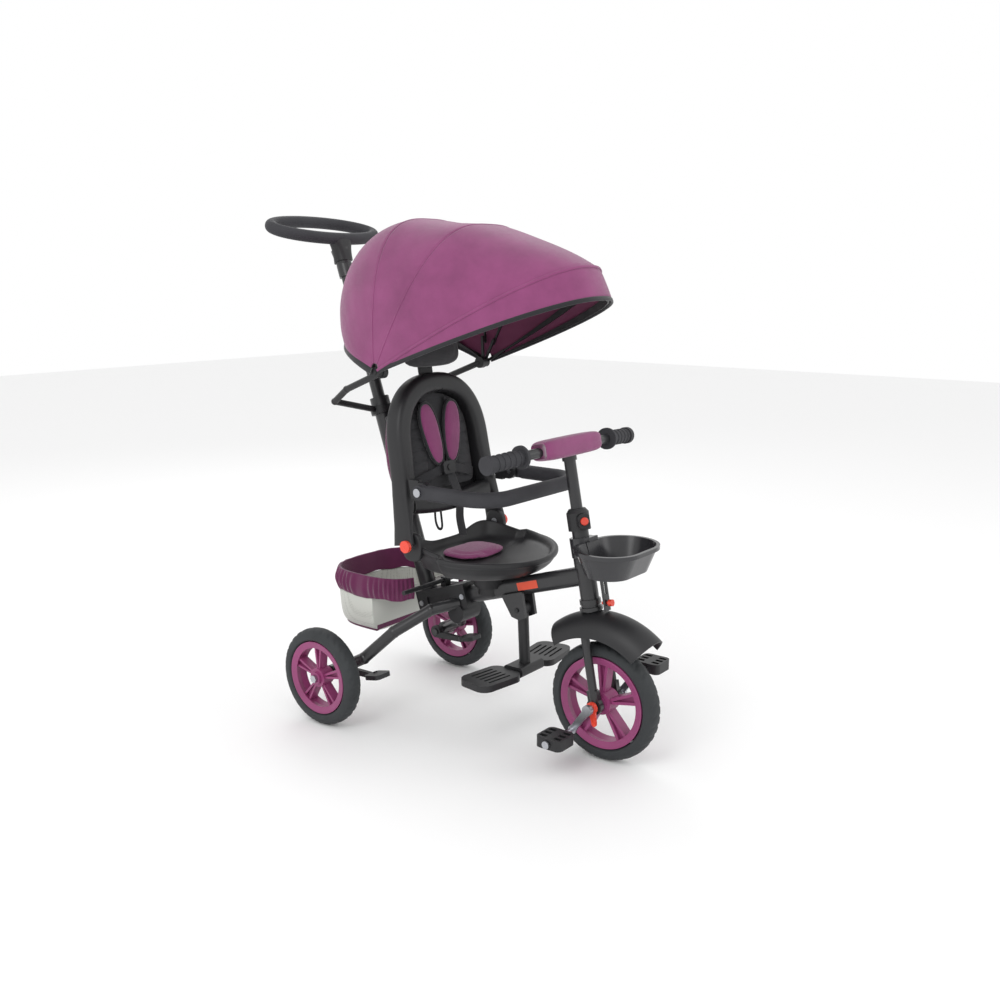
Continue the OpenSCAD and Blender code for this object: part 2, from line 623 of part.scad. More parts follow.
module canopy_front_bow() color(soft_black) {
  bow_pair(27.8, 451, 2.3, 1.4, 179.2);
  bow(20.8, 454, 2.3, 1.2);
}
module canopy_front_cloth() color(magenta) {
  cloth(28.4, 452, 2.3, 61.7, 335, 3, 6, 10);
  cloth(19.6, 455, 2.3, 28.4, 452, 2.3, 0, 3);
}

// ---- basket and footrest ----
module basket_plan(d, fx) {
  intersection() {
    translate([-200, 0]) stadium_x(250 - 2 * d, 270 - 2 * d);
    translate([-400, -200]) square([400 + fx, 400]);
  }
}
module stadium_x(l, w) {
  r = min(l, w) / 2 - 1;
  rounded(l, w, min(r, 95));
}
module basket_rim() color(dark_magenta) difference() {
  union() {
    translate([0, 0, 276]) linear_extrude(height = 50) difference() {
      basket_plan(0, -64);
      basket_plan(7, -50);
    }
    for (s = [-1, 1]) translate([-90, s * 121, 276]) cube([34, 8, 50]);
  }
  rod([-63, -140, 309], [-63, 140, 309], 5);
  translate([-140, -40, 200]) cube([90, 80, 160]);
}
module basket_tub() color(mesh_grey) difference() {
  union() {
    translate([0, 0, 232]) linear_extrude(height = 44) basket_plan(2, -166);
    translate([0, 0, 194]) linear_extrude(height = 38.01) basket_plan(16, -170);
  }
  translate([0, 0, 234]) linear_extrude(height = 60) basket_plan(6, -172);
  translate([0, 0, 198]) linear_extrude(height = 60) basket_plan(20, -176);
}
module footrest_lugs() color(plastic) for (s = [-1, 1]) difference() {
  translate([0, s * 18, 0]) rotate([90, 0, 0]) linear_extrude(height = 8, center = true)
    polygon([[112, 308], [166, 326], [176, 270], [160, 262], [140, 266]]);
  translate([154, 0, 283]) along_y(5, -40, 40);
}
module footrest() color(plastic) {
  translate([154, 0, 283]) along_y(4.9, -25, 25);
  difference() {
    union() {
      translate([154, 0, 283]) along_y(13, -13.6, 13.6);
      rod([154, 0, 283], [160, 0, 158], 12);
      translate([158, 0, 152]) rotate([90, 0, 0]) linear_extrude(height = 80, center = true) rounded(50, 22, 9);
    }
    translate([154, 0, 283]) along_y(4.9, -40, 40);
  }
  for (s = [-1, 1]) translate([144, s * 99, 150]) rotate([0, 0, s * 8])
    linear_extrude(height = 14, center = true) difference() {
      rounded(84, 118, 24);
      for (k = [-2 : 2]) translate([k * 13, 0]) stadium_y(5, 62);
    }
}
module stadium_y(w, l) rotate([0, 0, 90]) stadium(l, w);

front_tyre();
front_rim();
crank_set();
pedal_right();
pedal_left();
fork();
fender();
fork_knob();
clutch_lever();
stem_tube();
stem_clamp();
clamp_button();
tray();
handlebar();
handlebar_pad();
grips();
head_tube();
main_tube();
side_stickers();
rear_junction();
junction_rivets();
rear_leg_right();
rear_leg_left();
wheel_bolts();
rear_rim_right();
rear_tyre_right();
rear_rim_left();
rear_tyre_left();
brake_lever_right();
brake_lever_left();
seat_shell();
seat_pedestal();
seat_pad();
recline_pins();
backrest_shell();
backrest_padding();
shoulder_pads();
harness_buckle();
harness_straps();
recline_button_right();
recline_button_left();
headrest();
guardrail_sockets();
guardrail_screws();
guardrail();
storage_bag();
handle_lower_tube();
handle_upper();
handle_ring();
canopy_bracket();
canopy_rear_bow();
canopy_rear_cloth();
canopy_mid_bow();
canopy_mid_cloth();
canopy_front_bow();
canopy_front_cloth();
basket_rim();
basket_tub();
footrest_lugs();
footrest();
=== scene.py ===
"""Children's tricycle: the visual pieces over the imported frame.

Lengths are in metres in the row frame: +X forward, +Y to the rider's left, +Z up.
"""

import json
import logging
import math
from dataclasses import dataclass, field
from enum import Enum
from typing import Callable, Sequence

import bpy
import numpy as np
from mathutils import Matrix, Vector

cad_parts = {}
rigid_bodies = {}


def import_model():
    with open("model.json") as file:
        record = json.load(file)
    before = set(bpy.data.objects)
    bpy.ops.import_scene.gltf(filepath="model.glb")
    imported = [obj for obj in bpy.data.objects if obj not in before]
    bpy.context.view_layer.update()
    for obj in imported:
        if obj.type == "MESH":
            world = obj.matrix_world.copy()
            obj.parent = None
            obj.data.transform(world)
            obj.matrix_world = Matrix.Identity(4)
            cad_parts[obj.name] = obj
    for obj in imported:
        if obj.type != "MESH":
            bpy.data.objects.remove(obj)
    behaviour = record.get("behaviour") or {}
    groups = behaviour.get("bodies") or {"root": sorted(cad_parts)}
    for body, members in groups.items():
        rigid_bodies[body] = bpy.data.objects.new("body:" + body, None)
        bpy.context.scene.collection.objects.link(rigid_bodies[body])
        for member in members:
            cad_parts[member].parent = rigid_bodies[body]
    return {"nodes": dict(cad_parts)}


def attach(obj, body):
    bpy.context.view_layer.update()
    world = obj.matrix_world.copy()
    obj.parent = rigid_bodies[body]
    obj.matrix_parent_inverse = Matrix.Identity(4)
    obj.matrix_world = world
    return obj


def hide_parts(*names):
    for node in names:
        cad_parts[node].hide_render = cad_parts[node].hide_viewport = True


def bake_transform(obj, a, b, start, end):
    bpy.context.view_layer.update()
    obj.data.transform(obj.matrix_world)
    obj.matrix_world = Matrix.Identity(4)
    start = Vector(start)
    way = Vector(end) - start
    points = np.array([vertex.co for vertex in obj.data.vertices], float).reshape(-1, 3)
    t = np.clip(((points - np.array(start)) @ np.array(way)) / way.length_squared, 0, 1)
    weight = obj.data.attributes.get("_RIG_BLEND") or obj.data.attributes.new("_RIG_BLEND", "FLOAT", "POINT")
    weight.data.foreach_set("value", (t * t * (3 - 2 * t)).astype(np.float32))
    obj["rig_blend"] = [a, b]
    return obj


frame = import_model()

LOG = logging.getLogger("tricycle")
MM = 0.001
CLOTH_THICK = 1.6 * MM      # canopy and net cloth, outer face to inner face
SIM_LAST_FRAME = 14         # frames that each pad's simulation runs


# ---------------------------------------------------------------- materials

def linear(hex_code: str) -> tuple[float, float, float, float]:
    """Turns an sRGB hex code into a linear colour.

    Args:
        hex_code: six hex digits, such as "A05585".

    Returns:
        Linear red, green, blue and an alpha of 1.
    """
    parts = [int(hex_code[i:i + 2], 16) / 255 for i in (0, 2, 4)]
    lin = [c / 12.92 if c <= 0.04045 else ((c + 0.055) / 1.055) ** 2.4 for c in parts]
    return (lin[0], lin[1], lin[2], 1.0)


def add(tree: bpy.types.NodeTree, kind: str, settings: dict | None = None,
        inputs: dict | None = None) -> bpy.types.Node:
    """Adds one node with its settings and its inputs.

    Args:
        tree: the node tree that gets it.
        kind: the node's Blender type name.
        settings: attribute names and values.
        inputs: socket names or numbers, each with a value or an output socket to link.

    Returns:
        The new node.
    """
    node = tree.nodes.new(kind)
    for key, value in (settings or {}).items():
        setattr(node, key, value)
    for key, value in (inputs or {}).items():
        if isinstance(value, bpy.types.NodeSocket):
            tree.links.new(value, node.inputs[key])
        else:
            node.inputs[key].default_value = value
    return node


def ramp(tree: bpy.types.NodeTree, factor: bpy.types.NodeSocket,
         stops: Sequence[tuple[float, tuple]]) -> bpy.types.NodeSocket:
    """Maps a factor through colour stops and gives the colour socket."""
    node = add(tree, "ShaderNodeValToRGB", inputs={0: factor})
    elements = node.color_ramp.elements
    for element, (place, colour) in zip(elements, stops[:2]):
        element.position, element.color = place, colour
    for place, colour in stops[2:]:
        elements.new(place).color = colour
    return node.outputs["Color"]


def shade(hex_code: str, gain: float) -> tuple[float, float, float, float]:
    """A lighter or darker linear version of an sRGB hex colour."""
    r, g, b, a = linear(hex_code)
    return (r * gain, g * gain, b * gain, a)


@dataclass(frozen=True)
class Finish:
    """One real material, with its colour and surface values."""

    name: str
    hex_code: str
    roughness: float = 0.5
    metallic: float = 0.0
    ior: float = 1.46

    def pattern(self, tree: bpy.types.NodeTree, coords: bpy.types.NodeSocket,
                shader: bpy.types.Node) -> None:
        """Adds the finish's own colour and bump detail."""
        raise NotImplementedError

    def build(self) -> bpy.types.Material:
        """Makes the Blender material once and gives it back.

        Returns:
            The material, named for what the real one is.
        """
        found = bpy.data.materials.get(self.name)
        if found is not None:
            return found
        material = bpy.data.materials.new(self.name)
        material.use_nodes = True
        tree = material.node_tree
        tree.nodes.clear()
        shader = add(tree, "ShaderNodeBsdfPrincipled", inputs={
            "Base Color": linear(self.hex_code), "Roughness": self.roughness,
            "Metallic": self.metallic})
        if self.metallic < 0.5:
            shader.inputs["IOR"].default_value = self.ior
        add(tree, "ShaderNodeOutputMaterial", inputs={"Surface": shader.outputs[0]})
        coords = add(tree, "ShaderNodeTexCoord")
        self.pattern(tree, coords.outputs["Object"], shader)
        material.diffuse_color = linear(self.hex_code)
        return material


@dataclass(frozen=True)
class MouldedPlastic(Finish):
    """Injection-moulded polypropylene or ABS with a spark-eroded grain: soft broken highlights."""

    grain_mm: float = 1.1
    grain_depth: float = 0.12

    def pattern(self, tree: bpy.types.NodeTree, coords: bpy.types.NodeSocket,
                shader: bpy.types.Node) -> None:
        """Fine grain bump, slow tone drift and patchy handling gloss."""
        # The real grain is about 0.2 mm; it is drawn coarser so that it shows.
        grain = add(tree, "ShaderNodeTexNoise", inputs={
            "Vector": coords, "Scale": 1 / (self.grain_mm * MM), "Detail": 3.0})
        drift = add(tree, "ShaderNodeTexNoise", inputs={
            "Vector": coords, "Scale": 9.0, "Detail": 4.0})
        colour = ramp(tree, drift.outputs[0], [
            (0.3, shade(self.hex_code, 0.86)), (0.72, shade(self.hex_code, 1.14))])
        tree.links.new(colour, shader.inputs["Base Color"])
        gloss = add(tree, "ShaderNodeMapRange", inputs={
            "Value": drift.outputs[0], "To Min": self.roughness - 0.06,
            "To Max": self.roughness + 0.09})
        tree.links.new(gloss.outputs[0], shader.inputs["Roughness"])
        bump = add(tree, "ShaderNodeBump", inputs={
            "Height": grain.outputs[0], "Strength": self.grain_depth, "Distance": 0.0006})
        tree.links.new(bump.outputs[0], shader.inputs["Normal"])


@dataclass(frozen=True)
class PowderCoat(Finish):
    """Polyester powder coat on steel tube: satin with a slight orange peel."""

    def pattern(self, tree: bpy.types.NodeTree, coords: bpy.types.NodeSocket,
                shader: bpy.types.Node) -> None:
        """Orange peel bump at about 2.5 mm and tiny lighter rub marks."""
        peel = add(tree, "ShaderNodeTexNoise", inputs={
            "Vector": coords, "Scale": 1 / 0.0025, "Detail": 1.0})
        rub = add(tree, "ShaderNodeTexNoise", inputs={
            "Vector": coords, "Scale": 40.0, "Detail": 8.0, "Roughness": 0.7})
        colour = ramp(tree, rub.outputs[0], [
            (0.55, linear(self.hex_code)), (0.8, shade(self.hex_code, 1.5))])
        tree.links.new(colour, shader.inputs["Base Color"])
        bump = add(tree, "ShaderNodeBump", inputs={
            "Height": peel.outputs[0], "Strength": 0.12, "Distance": 0.0005})
        tree.links.new(bump.outputs[0], shader.inputs["Normal"])
        shader.inputs["Coat Weight"].default_value = 0.25
        shader.inputs["Coat Roughness"].default_value = 0.15


@dataclass(frozen=True)
class WovenCloth(Finish):
    """Plain-weave polyester: fine crossed threads, soft sheen, colour that drifts a little."""

    thread_mm: float = 1.6
    sheen: float = 0.35
    weave_depth: float = 0.35

    def pattern(self, tree: bpy.types.NodeTree, coords: bpy.types.NodeSocket,
                shader: bpy.types.Node) -> None:
        """Crossed sine threads over the piece's own cloth map, plus blotchy wash tone."""
        # Real threads are about 0.4 mm apart; they are drawn coarser so that they show.
        cloth_map = add(tree, "ShaderNodeUVMap", {"uv_map": "cloth"}).outputs[0]
        split = add(tree, "ShaderNodeSeparateXYZ", inputs={0: cloth_map})
        rate = 2 * math.pi / (self.thread_mm * MM)
        waves = []
        for axis in (0, 1):
            turn = add(tree, "ShaderNodeMath", {"operation": "MULTIPLY"},
                       {0: split.outputs[axis], 1: rate})
            waves.append(add(tree, "ShaderNodeMath", {"operation": "SINE"},
                             {0: turn.outputs[0]}).outputs[0])
        weave = add(tree, "ShaderNodeMath", {"operation": "MULTIPLY"}, {0: waves[0], 1: waves[1]})
        slub = add(tree, "ShaderNodeTexNoise", inputs={
            "Vector": coords, "Scale": 14.0, "Detail": 6.0, "Roughness": 0.6})
        height = add(tree, "ShaderNodeMath", {"operation": "MULTIPLY_ADD"},
                     {0: weave.outputs[0], 1: 0.5, 2: slub.outputs[0]})
        tone = add(tree, "ShaderNodeMath", {"operation": "MULTIPLY_ADD"},
                   {0: weave.outputs[0], 1: 0.10, 2: slub.outputs[0]})
        colour = ramp(tree, tone.outputs[0], [
            (0.3, shade(self.hex_code, 0.84)), (0.72, shade(self.hex_code, 1.13))])
        tree.links.new(colour, shader.inputs["Base Color"])
        bump = add(tree, "ShaderNodeBump", inputs={
            "Height": height.outputs[0], "Strength": self.weave_depth, "Distance": 0.0006})
        tree.links.new(bump.outputs[0], shader.inputs["Normal"])
        shader.inputs["Sheen Weight"].default_value = self.sheen
        shader.inputs["Sheen Roughness"].default_value = 0.45
        shader.inputs["Specular IOR Level"].default_value = 0.25


@dataclass(frozen=True)
class SpacerMesh(Finish):
    """Warp-knit spacer mesh: rows of small round holes, painted darker in their middles as painted shade
    seen through them.
    """

    hole_mm: float = 3.2
    # Colour painted in the hole centres: painted shade seen through the holes.
    hole_shade: str = "1C1C1E"

    def pattern(self, tree: bpy.types.NodeTree, coords: bpy.types.NodeSocket,
                shader: bpy.types.Node) -> None:
        """Round holes as cells of a regular lattice, sunk by a bump and darkened with painted shade."""
        cells = add(tree, "ShaderNodeTexVoronoi", {"feature": "F1"}, {
            "Vector": coords, "Scale": 1 / (self.hole_mm * MM), "Randomness": 0.12})
        # Painted shade: the hole centres take the darker colour, standing in for the shade seen through the
        # holes.
        colour = ramp(tree, cells.outputs["Distance"], [
            (0.16, linear(self.hole_shade)), (0.34, linear(self.hex_code))])
        tree.links.new(colour, shader.inputs["Base Color"])
        bump = add(tree, "ShaderNodeBump", inputs={
            "Height": cells.outputs["Distance"], "Strength": 0.4, "Distance": 0.0008})
        tree.links.new(bump.outputs[0], shader.inputs["Normal"])
        shader.inputs["Sheen Weight"].default_value = 0.2


@dataclass(frozen=True)
class FoamSleeve(Finish):
    """Closed-cell EVA or PU foam: matt skin with small pores."""

    pore_mm: float = 1.4

    def pattern(self, tree: bpy.types.NodeTree, coords: bpy.types.NodeSocket,
                shader: bpy.types.Node) -> None:
        """Pores from small cells and a slow tone drift."""
        pores = add(tree, "ShaderNodeTexVoronoi", inputs={
            "Vector": coords, "Scale": 1 / (self.pore_mm * MM)})
        drift = add(tree, "ShaderNodeTexNoise", inputs={
            "Vector": coords, "Scale": 16.0, "Detail": 5.0})
        colour = ramp(tree, drift.outputs[0], [
            (0.3, shade(self.hex_code, 0.82)), (0.75, shade(self.hex_code, 1.2))])
        tree.links.new(colour, shader.inputs["Base Color"])
        bump = add(tree, "ShaderNodeBump", inputs={
            "Height": pores.outputs["Distance"], "Strength": 0.22, "Distance": 0.0006})
        tree.links.new(bump.outputs[0], shader.inputs["Normal"])


@dataclass(frozen=True)
class BrushedSteel(Finish):
    """Zinc-plated or brushed steel: metal with fine one-way scratches."""

    def pattern(self, tree: bpy.types.NodeTree, coords: bpy.types.NodeSocket,
                shader: bpy.types.Node) -> None:
        """Stretched noise scratches in roughness and bump."""
        place = add(tree, "ShaderNodeMapping", inputs={"Vector": coords, "Scale": (900, 60, 900)})
        scratch = add(tree, "ShaderNodeTexNoise", inputs={
            "Vector": place.outputs[0], "Scale": 1.0, "Detail": 4.0})
        rough = add(tree, "ShaderNodeMapRange", inputs={
            "Value": scratch.outputs[0], "To Min": self.roughness - 0.08,
            "To Max": self.roughness + 0.12})
        tree.links.new(rough.outputs[0], shader.inputs["Roughness"])
        bump = add(tree, "ShaderNodeBump", inputs={
            "Height": scratch.outputs[0], "Strength": 0.08, "Distance": 0.0003})
        tree.links.new(bump.outputs[0], shader.inputs["Normal"])


class Stock(Enum):
    """Every finish used on the tricycle."""

    BLACK_PP = MouldedPlastic("moulded_polypropylene_black", "222224", 0.44)
    GLOSS_ABS = MouldedPlastic("gloss_abs_black", "2C2C2F", 0.2, 0.0, 1.54, 1.6, 0.03)
    RIM_PP = MouldedPlastic("moulded_polypropylene_plum", "91406F", 0.36)
    RED_ABS = MouldedPlastic("gloss_abs_red", "EC4A36", 0.26, 0.0, 1.54, 1.6, 0.03)
    VINYL = MouldedPlastic("vinyl_film_orange_red", "E8502F", 0.35, 0.0, 1.5, 1.6, 0.04)
    FRAME_COAT = PowderCoat("powder_coated_steel_black", "272729", 0.34)
    STEEL = BrushedSteel("zinc_plated_steel", "B9BBC0", 0.3, 1.0)
    EVA_TYRE = FoamSleeve("eva_foam_tyre", "303335", 0.68, 0.0, 1.46, 1.8)
    FOAM = FoamSleeve("foam_sleeve_black", "343438", 0.72)
    CANOPY = WovenCloth("woven_polyester_magenta", "8B4672", 0.78)
    PAD_CLOTH = WovenCloth("woven_polyester_magenta_pads", "8A4370", 0.75, 0.0, 1.46, 1.4)
    LINING = WovenCloth("woven_polyester_plum_lining", "783A5A", 0.82)
    BAG_CLOTH = WovenCloth("woven_polyester_dark_plum", "66294F", 0.8)
    TRIM = WovenCloth("bias_binding_black", "2A2A2D", 0.75, 0.0, 1.46, 1.4)
    WEBBING = WovenCloth("nylon_webbing_black", "29292C", 0.65, 0.0, 1.5, 2.4, 0.2, 0.5)
    BLACK_MESH = SpacerMesh("spacer_mesh_black", "2E2E31", 0.8)
    # The last colour is the painted shade in the net's holes.
    GREY_NET = SpacerMesh("polyester_net_grey", "CDCFC8", 0.8, 0.0, 1.46, 3.6, "8F9189")


# ------------------------------------------------------------ surface maths

def spow(c: np.ndarray, e: float | np.ndarray) -> np.ndarray:
    """Signed power |c|^(2/e), which squares off a circle as e grows past 2."""
    return np.sign(c) * np.abs(c) ** (2.0 / np.asarray(e))


def unit(v: np.ndarray) -> np.ndarray:
    """Each vector divided by its own length."""
    return v / np.maximum(np.linalg.norm(v, axis=-1, keepdims=True), 1e-12)


def grid_faces(rows: int, cols: int, wrap_rows: bool = False, wrap_cols: bool = False,
               flip: bool = False, start: int = 0) -> np.ndarray:
    """Quads of a rows by cols grid of vertices, as an index array."""
    i, j = np.meshgrid(np.arange(rows if wrap_rows else rows - 1),
                       np.arange(cols if wrap_cols else cols - 1), indexing="ij")
    i, j = i.ravel(), j.ravel()
    i2, j2 = (i + 1) % rows, (j + 1) % cols
    quads = np.stack([i * cols + j, i * cols + j2, i2 * cols + j2, i2 * cols + j], 1) + start
    return quads[:, ::-1] if flip else quads


def layered_faces(rows: int, cols: int) -> list[np.ndarray]:
    """Faces of two grids of vertices, one after the other, and of the rim that joins them."""
    n = rows * cols
    edge = np.concatenate([np.arange(cols), np.arange(1, rows) * cols + cols - 1,
                           (rows - 1) * cols + np.arange(cols - 2, -1, -1),
                           np.arange(rows - 2, 0, -1) * cols])
    following = np.roll(edge, -1)
    rim = np.stack([edge, edge + n, following + n, following], 1)
    return [grid_faces(rows, cols), grid_faces(rows, cols, flip=True, start=n), rim]


def make_mesh(name: str, verts: np.ndarray, faces: Sequence[np.ndarray],
              cloth: np.ndarray | None = None, slots: Sequence[int] | None = None,
              finishes: Sequence[Stock] = (), smooth: bool = True) -> bpy.types.Object:
    """Puts arrays into a mesh object at the origin.

    Args:
        name: the piece's name.
        verts: an array of points.
        faces: index arrays, one row a face; arrays may differ in width.
        cloth: a flat (width, length) place in metres for each vertex, or None.
        slots: a material slot number for each face array.
        finishes: the finishes of the slots.
        smooth: whether the faces shade smoothly.

    Returns:
        The object, linked to the scene.
    """
    mesh = bpy.data.meshes.new(name)
    mesh.from_pydata(verts.reshape(-1, 3).tolist(), [], [r for f in faces for r in f.tolist()])
    flat = cloth.reshape(-1, 2) if cloth is not None else verts.reshape(-1, 3)[:, 1:3]
    layer = mesh.uv_layers.new(name="cloth")
    corner = np.empty(len(mesh.loops), dtype=np.int64)
    mesh.loops.foreach_get("vertex_index", corner)
    layer.data.foreach_set("uv", flat[corner].astype(np.float32).ravel())
    if slots is not None:
        index = np.concatenate([np.full(len(f), s) for f, s in zip(faces, slots)])
        mesh.polygons.foreach_set("material_index", index.astype(np.int32))
    for finish in finishes:
        mesh.materials.append(finish.value.build())
    mesh.polygons.foreach_set("use_smooth", np.full(len(mesh.polygons), smooth))
    mesh.update()
    piece = bpy.data.objects.new(name, mesh)
    bpy.context.scene.collection.objects.link(piece)
    return piece


def swept(path: np.ndarray, side: np.ndarray, up: np.ndarray, half_w: float | np.ndarray,
          half_t: float | np.ndarray, square: float = 2.0, sides: int = 20,
          closed: bool = False) -> tuple[np.ndarray, list[np.ndarray], np.ndarray]:
    """A superellipse section carried along a path.

    Point (i, j) is path[i] + half_w[i] * c(j) * side[i] + half_t[i] * s(j) * up[i], where c and s are
    the signed powers of cosine and sine round the section. Open ends close on a centre point.

    Args:
        path: (m, 3) centreline.
        side: (m, 3) or (3,) unit vectors of the section's width.
        up: (m, 3) or (3,) unit vectors of the section's thickness.
        half_w: half widths.
        half_t: half thicknesses.
        square: superellipse exponent, 2 for an ellipse.
        sides: points round the section.
        closed: whether the path is a loop.

    Returns:
        Vertices, face arrays and the flat cloth places.
    """
    m = len(path)
    side, up = np.broadcast_to(side, (m, 3)), np.broadcast_to(up, (m, 3))
    hw = np.broadcast_to(half_w, (m,))[:, None, None]
    ht = np.broadcast_to(half_t, (m,))[:, None, None]
    a = np.linspace(0, 2 * np.pi, sides, endpoint=False)
    c, s = spow(np.cos(a), square)[None, :, None], spow(np.sin(a), square)[None, :, None]
    verts = path[:, None] + hw * c * side[:, None] + ht * s * up[:, None]
    tangent = np.gradient(path, axis=0)
    flip = float(np.mean(np.einsum("ij,ij->i", np.cross(side, up), tangent))) < 0
    faces = [grid_faces(m, sides, closed, True, not flip)]
    step = np.linalg.norm(np.diff(path, axis=0), axis=1)
    along = np.concatenate([[0], np.cumsum(step)])
    round_ = np.linspace(0, float(np.max(hw) + np.max(ht)) * 4, sides, endpoint=False)
    cloth = np.stack(np.meshgrid(round_, along), -1).reshape(-1, 2)
    verts = verts.reshape(-1, 3)
    if not closed:
        k = np.arange(sides)
        k2 = (k + 1) % sides
        low = np.stack([k, k2, np.full(sides, len(verts))], 1)
        top = (m - 1) * sides
        high = np.stack([top + k2, top + k, np.full(sides, len(verts) + 1)], 1)
        verts = np.concatenate([verts, path[:1], path[-1:]])
        cloth = np.concatenate([cloth, cloth[:1], cloth[-1:]])
        faces += [low, high] if flip else [low[:, ::-1], high[:, ::-1]]
    return verts, faces, cloth


def cap_rings(rings: np.ndarray, first: np.ndarray, last: np.ndarray
              ) -> tuple[np.ndarray, list[np.ndarray]]:
    """Faces and vertices of stacked rings (m, n, 3), closed with one pole at each end."""
    m, n = rings.shape[:2]
    k = np.arange(n)
    k2 = (k + 1) % n
    verts = np.concatenate([rings.reshape(-1, 3), first[None], last[None]])
    low = np.stack([k2, k, np.full(n, m * n)], 1)
    top = (m - 1) * n
    high = np.stack([top + k, top + k2, np.full(n, m * n + 1)], 1)
    return verts, [grid_faces(m, n, False, True, False), low, high]


def outward(piece: bpy.types.Object) -> bpy.types.Object:
    """Turns a closed piece's faces outwards if its signed volume is negative."""
    mesh = piece.data
    mesh.calc_loop_triangles()
    tris = np.empty(len(mesh.loop_triangles) * 3, dtype=np.int64)
    mesh.loop_triangles.foreach_get("vertices", tris)
    co = np.empty(len(mesh.vertices) * 3)
    mesh.vertices.foreach_get("co", co)
    p = co.reshape(-1, 3)[tris.reshape(-1, 3)]
    if np.einsum("ij,ij->i", p[:, 0], np.cross(p[:, 1], p[:, 2])).sum() < 0:
        mesh.flip_normals()
    return piece


@dataclass(frozen=True)
class Plane:
    """A flat frame: a centre with unit directions to the right, up and out of its face."""

    centre: tuple[float, float, float]
    right: tuple[float, float, float]
    up: tuple[float, float, float]

    def place(self, x: np.ndarray, y: np.ndarray, z: np.ndarray) -> np.ndarray:
        """Points x to the right, y up and z out of the face."""
        r, u = np.array(self.right), np.array(self.up)
        n = np.cross(r, u)
        return (np.array(self.centre) + x[..., None] * r + y[..., None] * u + z[..., None] * n)


def pillow(name: str, plane: Plane, half_w: float, half_h: float, front: float, rear: float,
           outline: float, edge: float, finish: Stock,
           relief: Callable[[np.ndarray, np.ndarray], np.ndarray] | None = None,
           taper: float = 0.0, sides: int = 96, rows: int = 40) -> bpy.types.Object:
    """A crowned closed pad.

    With u round the outline and v from the back pole to the front pole, a point is
    half_w * cosv * cosu to the right, half_h * cosv * sinu up, and front or rear * sinv out of the
    face, each as a signed power; relief then moves the front by its own function of place.

    Args:
        name: the piece's name.
        plane: where the pad's face lies.
        half_w: half width.
        half_h: half height.
        front: crown in front of the plane.
        rear: crown behind it.
        outline: squareness of the outline.
        edge: squareness of the edge's profile.
        finish: its material.
        relief: added height of the front as a function of the flat place.
        taper: share by which the width narrows towards the top.
        sides: points round the outline.
        rows: rings from pole to pole.

    Returns:
        The piece.
    """
    u = np.linspace(0, 2 * np.pi, sides, endpoint=False)[None, :]
    v = np.linspace(-np.pi / 2, np.pi / 2, rows + 2)[1:-1, None]
    wide = spow(np.cos(v), edge)
    x = half_w * wide * spow(np.cos(u), outline)
    y = half_h * wide * spow(np.sin(u), outline)
    x = x * (1 - taper * (y / half_h))
    z = spow(np.sin(v), edge) * np.where(v > 0, front, rear) * np.ones_like(u)
    if relief is not None:
        z = z + np.where(v > 0, relief(x, y) * np.sin(np.maximum(v, 0)) ** 0.5, 0.0)
    zero = np.zeros(1)
    lift = relief(zero, zero)[0] if relief is not None else 0.0
    rings = plane.place(x, y, z)
    poles = plane.place(np.zeros(2), np.zeros(2), np.array([-rear, front + lift]))
    verts, faces = cap_rings(rings, poles[0], poles[1])
    cloth = np.concatenate([np.stack([x, y], -1).reshape(-1, 2), np.zeros((2, 2))])
    return outward(make_mesh(name, verts, faces, cloth, finishes=[finish]))


def inflate(piece: bpy.types.Object, voxel_mm: float, cap_mm: float, pressure: float = 4.0
            ) -> bpy.types.Object:
    """Swells a pad like stuffed cloth by a short simulation, then applies it.

    Args:
        piece: the pad, a little smaller than it should end.
        voxel_mm: remeshing size.
        cap_mm: the furthest a point may move.
        pressure: the cloth's inner pressure.

    Returns:
        The same object, with the simulated mesh.
    """
    scene = bpy.context.scene
    bpy.context.view_layer.objects.active = piece
    remesh = piece.modifiers.new("even", "REMESH")
    remesh.mode, remesh.voxel_size = "VOXEL", voxel_mm * MM
    graph = bpy.context.evaluated_depsgraph_get()
    even = bpy.data.meshes.new_from_object(piece.evaluated_get(graph))
    piece.modifiers.clear()
    finishes = list(piece.data.materials)
    piece.data = even
    before = np.empty(len(even.vertices) * 3)
    even.vertices.foreach_get("co", before)
    cloth = piece.modifiers.new("stuffing", "CLOTH")
    cloth.settings.use_pressure = True
    cloth.settings.uniform_pressure_force = pressure
    cloth.settings.effector_weights.gravity = 0.0
    cloth.settings.quality = 4
    for step in range(1, SIM_LAST_FRAME + 1):
        scene.frame_set(step)
    graph = bpy.context.evaluated_depsgraph_get()
    swollen = bpy.data.meshes.new_from_object(piece.evaluated_get(graph))
    piece.modifiers.clear()
    scene.frame_set(1)
    after = np.empty(len(swollen.vertices) * 3)
    swollen.vertices.foreach_get("co", after)
    move = (after - before).reshape(-1, 3)
    size = np.linalg.norm(move, axis=1, keepdims=True)
    move *= np.minimum(1.0, cap_mm * MM / np.maximum(size, 1e-9))
    swollen.vertices.foreach_set("co", (before.reshape(-1, 3) + move).ravel())
    co = before.reshape(-1, 3)
    layer = swollen.uv_layers.get("cloth") or swollen.uv_layers.new(name="cloth")
    corner = np.empty(len(swollen.loops), dtype=np.int64)
    swollen.loops.foreach_get("vertex_index", corner)
    layer.data.foreach_set("uv", co[corner][:, 1:3].astype(np.float32).ravel())
    swollen.materials.clear()
    for material in finishes:
        swollen.materials.append(material)
    swollen.polygons.foreach_set("use_smooth", np.full(len(swollen.polygons), True))
    piece.data = swollen
    smooth = piece.modifiers.new("soften", "SUBSURF")
    smooth.levels = smooth.render_levels = 1
    return piece


